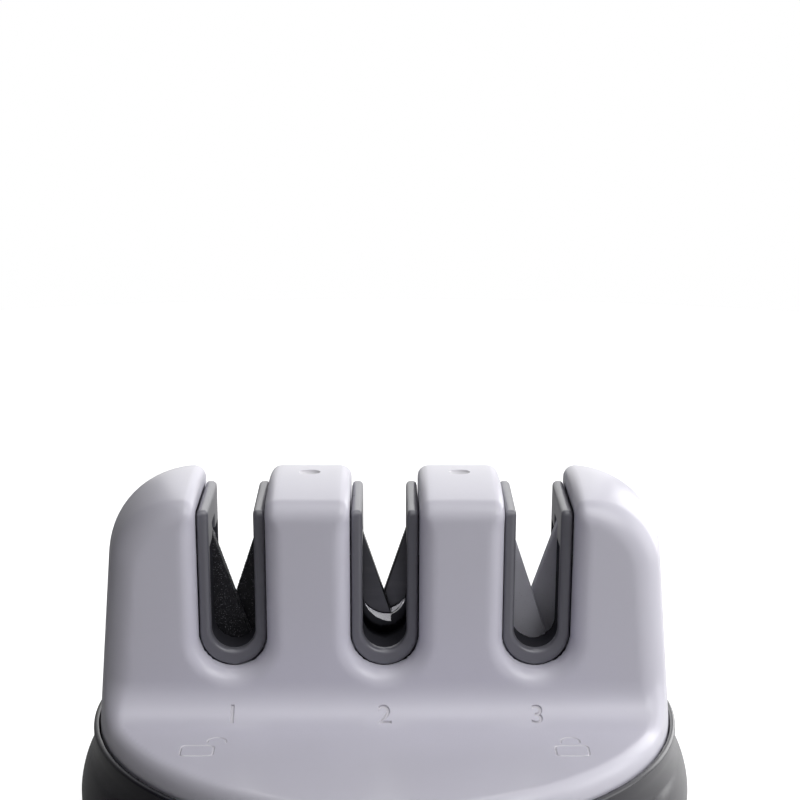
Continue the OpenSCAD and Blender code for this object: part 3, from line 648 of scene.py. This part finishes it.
def linerHalf(x, y, z, headSide):
    dx = nearSlot(x)
    throat = uShape(dx, z, liner["throat"], liner["throatArc"])
    body = roundMax(uShape(dx, z, liner["half"], liner["arc"]), y - liner["depth"], liner["edge"])
    body = roundMax(body, z - liner["top"], liner["topEdge"])
    body = roundMax(body, -throat, liner["innerEdge"])
    web = np.maximum(np.maximum(np.abs(x) - liner["bossEnd"], y - liner["web"]),
                     np.maximum(liner["webLow"] - z, z - liner["webHigh"]))
    body = np.minimum(body, np.maximum(web, -throat))
    pocket = np.maximum(uShape(dx, z, liner["pocket"], liner["throatArc"]),
                        np.maximum(z - liner["pocketTop"], y - liner["pocketDepth"]))
    body = np.maximum(body, -pocket)
    for b in bosses:
        reach = np.sqrt((x - b) ** 2 + (z - liner["bossHeight"]) ** 2)
        boss = np.maximum(reach - liner["boss"], y - liner["bossDepth"])
        body = np.maximum(np.minimum(body, np.maximum(boss, -throat)), liner["hole"] - reach)
        if headSide:
            sunk = np.minimum(liner["headHole"] - reach, y - liner["bossDepth"] + liner["headDepth"])
            body = np.maximum(body, sunk)
    return body


# painted shade: the faces deep in the throat, under the plates, take the dark inside material
def inPaintedShade(c):
    near = uShape(nearSlot(np.array(c.x)), np.array(c.z), liner["shadeHalf"], liner["throatArc"])
    return near < 0 and abs(c.y) < liner["shadeDepth"] and c.z < liner["shadeTop"]


linerAxes = [span(*liner[axis], liner["cell"]) for axis in "xyz"]
for name, flip, headSide in (("liner_front", -1, False), ("liner_rear", 1, True)):
    title = name.replace("_", "") + "Half"
    points, faces, normals = flatPiece(title, lambda x, y, z: linerHalf(x, y, z, headSide), linerAxes,
                                       liner["flatReach"])
    if flip < 0:
        points[:, 1] *= -1
        normals[:, 1] *= -1
        faces = faces[:, ::-1]
    piece = addMesh(title, points, faces, normals)
    dress(piece, materials["liner_gray"], paintedShadeMaterial)
    for face in piece.data.polygons:
        if inPaintedShade(face.center / mm):
            face.material_index = 1
    standIn(piece, "head", "liner_gray", name)


# sharpening plates: coarse diamond, carbide, ceramic

plate = {
    "half": 5.25, "arc": 51.95, "top": 69.6, "vee": 56, "angle": 18.5, "thick": 2.7, "gap": 0.1, "edge": 0.22,
    "blade": 2.2, "nose": 1.3, "noseEdge": 0.1, "foot": (1.5, 56.2, 5.6), "footEdge": 0.08,
    "grind": (0.6, 57.6, 5.16), "grindTop": 54.4, "grindDepth": 0.2, "grindRamp": 0.3, "grindLeast": 0.05,
    "ground": 0.1, "cell": 0.4, "bladeCell": 0.2, "x": (-6.2, 6.2), "y": (-3.5, 0.6), "z": (45.6, 70.4),
}
tilt = math.radians(plate["angle"])


def longPlate(x, y, z, thick=plate["thick"]):
    edge = (x - (plate["vee"] - z) * math.tan(tilt)) * math.cos(tilt)
    outline = np.maximum(uShape(x, z, plate["half"], plate["arc"]), z - plate["top"])
    side = np.abs(y + plate["gap"] + thick / 2) - thick / 2
    return roundMax(roundMax(outline, edge, plate["edge"]), side, plate["edge"])


def footShape(x, z):
    cx, cz, reach = plate["foot"]
    return np.where(z < cz, np.sqrt((x - cx) ** 2 + (z - cz) ** 2), 0) - reach


def grindShape(x, z):
    # how far outside the round end of the flat face, where the foot is ground hollow
    cx, cz, reach = plate["grind"]
    return np.where(z < plate["grindTop"], np.sqrt((x - cx) ** 2 + (z - cz) ** 2) - reach, -1)


def shortBlade(x, y, z):
    body = longPlate(x, y, z, plate["blade"])
    body = roundMax(body, x - plate["nose"], plate["noseEdge"])
    skin = np.minimum(-plate["gap"] - y, y + plate["gap"] + plate["blade"])
    inward = np.maximum(grindShape(x, z), 0)
    rest = np.maximum(-footShape(x, z), 0)
    # the hollow starts with a short ramp and runs out to nothing at the edge
    ramp = np.clip(inward / plate["grindRamp"], 0, 1)
    hollow = plate["grindDepth"] * ramp * rest / np.maximum(rest + inward, plate["grindLeast"])
    return roundMax(np.maximum(body, hollow - skin), footShape(x, z), plate["footEdge"])


def startShape(name, inputs):
    tree = bpy.data.node_groups.new(name, "GeometryNodeTree")
    tree.interface.new_socket("Geometry", in_out="INPUT", socket_type="NodeSocketGeometry")
    tree.interface.new_socket("Geometry", in_out="OUTPUT", socket_type="NodeSocketGeometry")
    addInputs(tree, inputs)
    return tree, tree.nodes.new("NodeGroupInput").outputs, tree.nodes.new("NodeGroupOutput").inputs


grains = {"Density": 8e6, "Radius": 0.00009, "Seed": 7}


def grainTree():
    tree, given, out = startShape("diamondGrains", grains)
    spots = addNode(tree, "GeometryNodeDistributePointsOnFaces", {
        "Mesh": given["Geometry"], "Density": given["Density"], "Seed": given["Seed"]})
    chip = addNode(tree, "GeometryNodeMeshIcoSphere", {"Radius": given["Radius"], "Subdivisions": 1})
    # 0 and 1 are the least and most of a random vector, 2 and 3 those of a random number
    turn = addNode(tree, "FunctionNodeRandomValue", {0: (0, 0, 0), 1: (6, 6, 6), "Seed": given["Seed"]},
                   data_type="FLOAT_VECTOR")
    size = addNode(tree, "FunctionNodeRandomValue", {2: 0.4, 3: 1.0, "Seed": given["Seed"]},
                   data_type="FLOAT")
    placed = addNode(tree, "GeometryNodeInstanceOnPoints", {
        "Points": spots.outputs[0], "Instance": chip.outputs[0], "Rotation": turn.outputs[0],
        "Scale": size.outputs[1]})
    real = addNode(tree, "GeometryNodeRealizeInstances", {0: placed.outputs[0]})
    dressed = addNode(tree, "GeometryNodeSetMaterial", {0: real.outputs[0], "Material": grainMaterial})
    both = addNode(tree, "GeometryNodeJoinGeometry", {0: dressed.outputs[0]})
    tree.links.new(given["Geometry"], both.inputs[0])
    tree.links.new(both.outputs[0], out[0])
    return tree


def setInputs(modifier, values):
    for item in modifier.node_group.interface.items_tree:
        if item.in_out == "INPUT" and item.name in values:
            modifier[item.identifier] = values[item.name]


grainNodes = grainTree()
plateRows = [("coarse_plate", longPlate, slots[0], "diamond_black"),
             ("carbide_blade", shortBlade, slots[1], "carbide_steel"),
             ("ceramic_plate", longPlate, slots[2], "ceramic_gray")]
for name, shape, centre, finish in plateRows:
    cell = plate["cell"] if shape is longPlate else plate["bladeCell"]
    for side, turn in (("left", 1), ("right", -1)):
        depth = plate["y"] if turn > 0 else [-y for y in plate["y"][::-1]]
        axes = [span(*plate["x"], cell) + centre, span(*depth, cell), span(*plate["z"], cell)]
        piece = fieldPiece(name.replace("_", "") + side.capitalize(),
                           lambda x, y, z: shape((x - centre) * turn, y * turn, z), axes)
        dress(piece, materials[finish])
        if finish == "diamond_black":
            scatter = piece.modifiers.new("grains", "NODES")
            scatter.node_group = grainNodes
            setInputs(scatter, {**grains, "Seed": grains["Seed"] + turn})
            mesh = plainMesh(piece)
            piece.modifiers.clear()
            piece.data = mesh
        if finish == "carbide_steel":
            piece.data.materials.append(groundMaterial)
            for face in piece.data.polygons:
                c = face.center / mm
                if grindShape(np.array((c.x - centre) * turn), np.array(c.z)) > plate["ground"]:
                    face.material_index = 1
        standIn(piece, "head", finish, name + "_" + side)


# lock ring: wall, web with windows, rail, stops and thumb tab

ring = {
    "radius": 56.99, "lean": 0.05, "floor": 2.5, "edge": 1.2, "shoulder": 23, "shoulderEdge": 1.7,
    "collarFoot": 28.2, "neckEdge": 0.8, "collar": 54.1, "collarIn": 53.0, "collarTop": 32.7,
    "collarEdge": 0.6, "wallIn": 54.1, "wallStep": (25.5, 27.5), "webMiddle": 15.25, "webHalf": 1.25,
    "webReach": 55, "webEdge": 1.0, "bore": 13.82, "windows": 8, "windowPlace": 30.5, "window": 5.5,
    "windowEdge": 0.4, "keyHalf": 1.52, "keyReach": 15.42, "rail": 49.6, "railHalf": 0.8, "railTop": 28.1,
    "railFoot": 15, "stop": 45.7, "stopHalf": 1.7, "stopTop": 26, "stopTurns": (96.5, -6.5), "stopSpread": 3,
    "tabTurn": 225, "tabReach": 62, "tabFoot": 55.5, "tabMiddle": 12, "tabHalf": 7, "tabEdge": 2,
    "tabSpread": 9.05, "tabSide": 1.8, "tabJoin": 1.2, "rib": 0.28, "ribPitch": 2.3, "ribFrom": 58.5,
    "ribSpread": 8, "ribFade": 1.5, "ribHalf": 6.1, "ribEnd": 1.2, "tabWindow": 12, "step": 1.2,
    "fineStep": 0.28, "z": (1.6, 0.94, 27, 0.4, 33.4), "r": (12.6, 1.5, 47.6, 0.5, 58.4, 0.6, 63.2),
}
ringFlare = ring["radius"] - ring["lean"] - ring["collar"]
ringRise = ring["collarFoot"] - ring["shoulder"]
ringSlant = math.hypot(ringFlare, ringRise)


def turnedFrom(angle, degrees):
    return np.mod(angle - degrees + 180, 360) - 180


def ringField(x, y, z):
    r = np.sqrt(x * x + y * y)
    angle = np.degrees(np.arctan2(y, x))
    lower = r - ring["radius"] + ring["lean"] * (z - ring["floor"] - ring["edge"]) / (
        ring["shoulder"] - ring["floor"] - ring["edge"])
    upper = ((r - ring["radius"] + ring["lean"]) * ringRise + (z - ring["shoulder"]) * ringFlare) / ringSlant
    wall = roundMin(roundMax(lower, upper, ring["shoulderEdge"]), r - ring["collar"], ring["neckEdge"])
    wall = roundMax(wall, z - ring["collarTop"], ring["collarEdge"])
    wall = roundMax(wall, ring["floor"] - z, ring["edge"])
    wall = np.maximum(wall, np.interp(z, ring["wallStep"], [ring["wallIn"], ring["collarIn"]]) - r)
    web = np.maximum(r - ring["webReach"], ring["bore"] - r)
    web = np.maximum(np.abs(z - ring["webMiddle"]) - ring["webHalf"], web)
    sector = 360 / ring["windows"]
    fold = np.radians(np.mod(angle, sector) - sector / 2)
    window = np.sqrt((r * np.cos(fold) - ring["windowPlace"]) ** 2 + (r * np.sin(fold)) ** 2) - ring["window"]
    key = np.maximum(np.abs(x) - ring["keyHalf"], r - ring["keyReach"])
    web = np.maximum(roundMax(web, -window, ring["windowEdge"]), -key)
    body = roundMin(wall, web, ring["webEdge"])
    below = ring["railFoot"] - z
    rail = np.maximum(np.abs(r - ring["rail"]) - ring["railHalf"], np.maximum(z - ring["railTop"], below))
    body = np.minimum(body, rail)
    for degrees in ring["stopTurns"]:
        side = (np.abs(turnedFrom(angle, degrees)) - ring["stopSpread"]) * np.pi / 180 * r
        stop = np.maximum(np.maximum(side, np.abs(r - ring["stop"]) - ring["stopHalf"]),
                          np.maximum(z - ring["stopTop"], below))
        body = np.minimum(body, stop)
    away = turnedFrom(angle, ring["tabTurn"]) * np.pi / 180 * r
    block = roundMax(r - ring["tabReach"], np.abs(z - ring["tabMiddle"]) - ring["tabHalf"], ring["tabEdge"])
    block = roundMax(block, np.abs(away) - ring["tabSpread"] * np.pi / 180 * r, ring["tabSide"])
    # the ribs fade toward the tab's root, sides and ends
    ribs = (1 + np.cos(2 * np.pi * away / ring["ribPitch"])) * ease((r - ring["ribFrom"]) / ring["ribFade"])
    ribs = ribs * ease((ring["ribSpread"] - np.abs(away)) / ring["ribFade"])
    ribs = ribs * ease((ring["ribHalf"] - np.abs(z - ring["tabMiddle"])) / ring["ribEnd"])
    block = np.maximum(block + ring["rib"] * ribs, ring["tabFoot"] - r)
    return roundMin(body, block, ring["tabJoin"])


# finer steps round the tab
tabFrom, tabTo = ring["tabTurn"] - ring["tabWindow"], ring["tabTurn"] + ring["tabWindow"]
turns = np.radians(spans(0, ring["step"], tabFrom, ring["fineStep"], tabTo, ring["step"], 360)[:-1])
ringPiece = fieldPiece("lockRing", ringField, [turns, spans(*ring["z"]), spans(*ring["r"])], polar, True)
dress(ringPiece, materials["ring_gray"])
standIn(ringPiece, "ring", "ring_gray", "lock_ring")


# suction cup

cup = {
    "radius": 48, "rim": 3.4, "rimEdge": 0.8, "shoulder": 5, "shoulderPlace": 11.5, "slopeEnd": 42,
    "boss": 10.5, "bossTop": 6.6, "bossEdge": 0.5, "bossJoin": 0.8, "land": 3, "hollow": 2.4, "groove": 46.6,
    "grooveHalf": 0.4, "grooveDepth": 0.35, "grooveSide": 0.3, "tabHalf": 6, "tabFrom": 46, "tabReach": 52.5,
    "tabTop": 1.6, "tabEdge": 0.5, "tabJoin": 0.6, "pocket": 8.52, "pocketLow": 3.8, "pocketHigh": 5.4,
    "hole": 3.02,
    "turns": (0, 1.6, 80, 0.4, 100, 1.625, 360), "z": (-0.3, 0.15, 1.5, 0.4, 7.3),
    "r": (0, 1.2, 43.2, 0.4, 49.2, 0.55, 53.6),
}


def cupField(x, y, z):
    r = np.sqrt(x * x + y * y)
    top = np.interp(r, [cup["shoulderPlace"], cup["slopeEnd"]], [cup["shoulder"], cup["rim"]])
    disc = roundMax(z - top, r - cup["radius"], cup["rimEdge"])
    boss = roundMax(r - cup["boss"], z - cup["bossTop"], cup["bossEdge"])
    body = roundMin(disc, boss, cup["bossJoin"])
    tab = np.maximum(np.abs(x) - cup["tabHalf"], r - cup["tabReach"])
    tab = np.maximum(roundMax(tab, z - cup["tabTop"], cup["tabEdge"]), cup["tabFrom"] - y)
    body = roundMin(body, tab, cup["tabJoin"])
    land = cup["radius"] - cup["land"]
    under = np.where(r < land, cup["hollow"] * np.cos(np.pi / 2 * np.minimum(r / land, 1)), 0)
    inGroove = ease((cup["grooveHalf"] - np.abs(r - cup["groove"])) / cup["grooveSide"])
    body = np.maximum(body, np.maximum(under, cup["grooveDepth"] * inGroove) - z)
    pocket = np.maximum(r - cup["pocket"], np.maximum(cup["pocketLow"] - z, z - cup["pocketHigh"]))
    hole = np.maximum(r - cup["hole"], cup["pocketLow"] - z)
    return np.maximum(body, -np.minimum(pocket, hole))


# finer steps round the finger tab, the rim and the sealing land
cupAxes = [np.radians(spans(*cup["turns"])[:-1]), spans(*cup["z"]), spans(*cup["r"])]
cupPiece = fieldPiece("suctionCup", cupField, cupAxes, polar, True, True)
dress(cupPiece, materials["cup_rubber"])
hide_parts("suction_cup")
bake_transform(cupPiece)


# screws and spring, from Geometry Nodes, with their sizes in metres

screw = {
    "Head Radius": 0.002, "Head Height": 0.0014, "Shank Radius": 0.0011, "Length": 0.014, "Recess": 0.0024,
}
spring = {"Turns": 6.5, "Radius": 0.0031, "Height": 0.01106, "Wire": 0.00045, "Base": 0.02747}


def screwTree():
    tree, given, out = startShape("screwKit", screw)

    def raised(shape, height, share):
        rise = addNode(tree, "ShaderNodeCombineXYZ", {2: calc(tree, "MULTIPLY", height, share)})
        moved = addNode(tree, "GeometryNodeTransform", {"Geometry": shape, "Translation": rise.outputs[0]})
        return moved.outputs[0]

    top = addNode(tree, "GeometryNodeMeshCylinder", {
        "Radius": given["Head Radius"], "Depth": given["Head Height"], "Vertices": 48})
    recess = addNode(tree, "GeometryNodeMeshBoolean", {0: raised(top.outputs[0], given["Head Height"], 0.5)},
                     operation="DIFFERENCE")
    arm = calc(tree, "MULTIPLY", given["Recess"], 0.26)
    deep = calc(tree, "MULTIPLY", given["Head Height"], 1.1)
    for width, length in ((given["Recess"], arm), (arm, given["Recess"])):
        size = addNode(tree, "ShaderNodeCombineXYZ", {0: width, 1: length, 2: deep})
        bar = addNode(tree, "GeometryNodeMeshCube", {"Size": size.outputs[0]})
        tree.links.new(bar.outputs[0], recess.inputs[1])
    shank = addNode(tree, "GeometryNodeMeshCylinder", {
        "Radius": given["Shank Radius"], "Depth": given["Length"], "Vertices": 32})
    # the shank starts inside the head
    shank = raised(raised(shank.outputs[0], given["Length"], 0.5), given["Head Height"], 0.7)
    both = addNode(tree, "GeometryNodeJoinGeometry", {0: recess.outputs[0]})
    tree.links.new(shank, both.inputs[0])
    placed = addNode(tree, "GeometryNodeInstanceOnPoints", {
        "Points": given["Geometry"], "Instance": both.outputs[0]})
    real = addNode(tree, "GeometryNodeRealizeInstances", {0: placed.outputs[0]})
    dressed = addNode(tree, "GeometryNodeSetMaterial", {0: real.outputs[0], "Material": materials["steel"]})
    tree.links.new(dressed.outputs[0], out[0])
    return tree


def springTree():
    tree, given, out = startShape("returnCoil", spring)
    path = addNode(tree, "GeometryNodeCurveSpiral", {
        "Rotations": given["Turns"], "Start Radius": given["Radius"], "End Radius": given["Radius"],
        "Height": given["Height"], "Resolution": 48})
    wire = addNode(tree, "GeometryNodeCurvePrimitiveCircle", {"Radius": given["Wire"], "Resolution": 14})
    coil = addNode(tree, "GeometryNodeCurveToMesh", {
        "Curve": path.outputs[0], "Profile Curve": wire.outputs[0], "Fill Caps": True})
    place = addNode(tree, "ShaderNodeCombineXYZ", {2: given["Base"]})
    moved = addNode(tree, "GeometryNodeTransform", {
        "Geometry": coil.outputs[0], "Translation": place.outputs[0]})
    real = addNode(tree, "GeometryNodeRealizeInstances", {0: moved.outputs[0]})
    smooth = addNode(tree, "GeometryNodeSetShadeSmooth", {0: real.outputs[0]})
    dressed = addNode(tree, "GeometryNodeSetMaterial", {0: smooth.outputs[0], "Material": materials["steel"]})
    tree.links.new(dressed.outputs[0], out[0])
    return tree


def shapePiece(name, places, tree, values):
    piece = addMesh(name, places, [])
    shape = piece.modifiers.new(name, "NODES")
    shape.node_group = tree
    setInputs(shape, values)
    mesh = plainMesh(piece)
    piece.modifiers.clear()
    piece.data = mesh
    print(name, len(mesh.polygons), "faces")
    return piece


def around(radius, z):
    return [(radius * math.cos(a), radius * math.sin(a), z) for a in np.radians([45, 135, 225, 315])]


# each kind's sizes are in the order of the screw's inputs
screwNodes = screwTree()
screwPlaces = {"headZ": 26.7, "pressureRadius": 6.05, "pressureZ": 10.9}
screwKinds = [
    ("linerScrews", "liner_screws", [(b, liner["bossHeight"], -liner["bossDepth"]) for b in bosses],
     (0.002, 0.0014, 0.0011, 0.014, 0.0024)),
    ("headScrews", "head_screws", around(head["bossPlace"], screwPlaces["headZ"]),
     (0.0026, 0.0018, 0.00138, 0.00724, 0.003)),
    ("pressureScrews", "pressure_screws", around(screwPlaces["pressureRadius"], screwPlaces["pressureZ"]),
     (0.0018, 0.0013, 0.001, 0.01049, 0.0022)),
]
for name, node, places, sizes in screwKinds:
    piece = shapePiece(name, places, screwNodes, dict(zip(screw, sizes)))
    if name == "linerScrews":
        piece.data.transform(Matrix.Rotation(math.pi / 2, 4, "X"))
    standIn(piece, "head", "steel", node)

springPiece = shapePiece("returnSpring", [(0, 0, 0)], springTree(), spring)
standIn(springPiece, "head", "steel", "return_spring")
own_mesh(springPiece)


# floor, light and camera

stage = {
    "radius": 0.6, "sides": 96, "boost": 0.78, "glow": 0.45, "dim": 0.75, "dimTo": -0.02, "litFrom": 0.12,
}
floorMesh = bpy.data.meshes.new("floor")
edgePoints = [(stage["radius"] * math.cos(a), stage["radius"] * math.sin(a), 0)
              for a in np.linspace(0, 2 * math.pi, stage["sides"], endpoint=False)]
floorMesh.from_pydata(edgePoints, [], [list(range(stage["sides"]))])
floor = bpy.data.objects.new("floor", floorMesh)
bpy.context.scene.collection.objects.link(floor)
floorMat = newMaterial("floorPale", (0.6, 0.6, 0.6), 0.6, shade=0.99, bump=0)
tree = floorMat.node_tree
path = tree.nodes.new("ShaderNodeLightPath").outputs
shader = tree.nodes["Principled BSDF"].inputs
shader["Emission Color"].default_value = (1, 1, 1, 1)
bright = calc(tree, "MULTIPLY", path["Is Camera Ray"], stage["boost"])
# painted light for reflections only: in shiny surfaces the floor glows on the right and is painted darker on
# the left, a painted reflection of light from the right
place = addNode(tree, "ShaderNodeTexCoord")
across = addNode(tree, "ShaderNodeSeparateXYZ", {0: place.outputs["Object"]})
side = addNode(tree, "ShaderNodeMapRange", {
    "Value": across.outputs["X"], "From Min": stage["dimTo"], "From Max": stage["litFrom"]})
lit = calc(tree, "MULTIPLY", path["Is Glossy Ray"], side.outputs[0])
dim = calc(tree, "SUBTRACT", path["Is Glossy Ray"], lit)
tree.links.new(calc(tree, "MULTIPLY_ADD", lit, stage["glow"], bright), shader["Emission Strength"])
# painted shade: for reflections the floor's colour is darkened on the left
paint = mixColor(tree, dim, stage["dim"], shader["Base Color"].links[0].from_socket, (0, 0, 0))
tree.links.new(paint, shader["Base Color"])
dress(floor, floorMat)

# white for the camera, soft screens for what shines
screens = {
    "focus": 9,
    "rows": {"top": (0, 90, 1.99), "front": (0, 45, 1.44), "back": (180, 45, 1.1),
             "rightBack": (135, 45, 1.0), "rightFront": (45, 45, 0.98), "rightBackLow": (135, 10, 1.08),
             "backLow": (180, 10, 0.51), "leftFrontLow": (315, 10, 0.32), "rightLow": (90, 10, 0.7),
             "frontLow": (0, 10, 0.31), "leftBackLow": (225, 10, 0.18)},
}


def toward(turn, up):
    # turn 0 is the front, 90 the right
    a, e = math.radians(turn), math.radians(up)
    return Vector((math.sin(a) * math.cos(e), -math.cos(a) * math.cos(e), math.sin(e)))


world = bpy.data.worlds.new("studio")
bpy.context.scene.world = world
world.use_nodes = True
tree = world.node_tree
tree.nodes.clear()
path = tree.nodes.new("ShaderNodeLightPath")
place = tree.nodes.new("ShaderNodeTexCoord")
glow = None
for turn, up, strength in screens["rows"].values():
    facing = addNode(tree, "ShaderNodeVectorMath", {0: place.outputs["Generated"], 1: toward(turn, up)},
                     operation="DOT_PRODUCT")
    soft = calc(tree, "POWER", calc(tree, "MAXIMUM", facing.outputs["Value"], 0), screens["focus"])
    part = calc(tree, "MULTIPLY", soft, strength)
    glow = part if glow is None else calc(tree, "ADD", part, glow)
shiny = calc(tree, "MULTIPLY", path.outputs["Is Glossy Ray"], glow)
clear = calc(tree, "MAXIMUM", path.outputs["Is Camera Ray"], path.outputs["Is Transmission Ray"])
level = calc(tree, "MAXIMUM", shiny, clear)
sky = addNode(tree, "ShaderNodeBackground", {"Strength": level, "Color": (1, 1, 1, 1)})
addNode(tree, "ShaderNodeOutputWorld", {0: sky.outputs[0]})

lamps = {
    "distance": 0.8, "size": 0.5, "power": 5.0, "aim": (0, 0, 0.055),
    "rows": {"rightFront": (45, 45, 0.52), "rightBackLow": (135, 12, 0.44), "rightLow": (90, 12, 0.355),
             "frontHigh": (0, 70, 0.19), "back": (180, 45, 0.16), "backLow": (180, 12, 0.14),
             "right": (90, 45, 0.12)},
}
for name, (turn, up, share) in lamps["rows"].items():
    data = bpy.data.lights.new(name, "AREA")
    data.shape = "SQUARE"
    data.size = lamps["size"]
    data.energy = lamps["power"] * share
    lamp = bpy.data.objects.new(name, data)
    aim = Vector(lamps["aim"])
    lamp.location = aim + lamps["distance"] * toward(turn, up)
    lamp.rotation_euler = (aim - lamp.location).to_track_quat("-Z", "Y").to_euler()
    lamp.visible_camera = False
    bpy.context.scene.collection.objects.link(lamp)

camera = {
    "elevation": 18.5, "distance": 0.345, "aim": (0, 0, 0.06), "lens": 84.67, "sensor": 36,
    "shift": (0.01925, 0.2116), "near": 0.01,
}
camData = bpy.data.cameras.new("camera")
camData.lens = camera["lens"]
camData.sensor_width = camera["sensor"]
camData.shift_x, camData.shift_y = camera["shift"]
camData.clip_start = camera["near"]
cam = bpy.data.objects.new("camera", camData)
e = math.radians(camera["elevation"])
cam.location = Vector(camera["aim"]) + camera["distance"] * Vector((0, -math.cos(e), math.sin(e)))
cam.rotation_euler = (math.pi / 2 - e, 0, 0)
bpy.context.scene.collection.objects.link(cam)
bpy.context.scene.camera = cam
bpy.context.scene.view_settings.view_transform = "Standard"
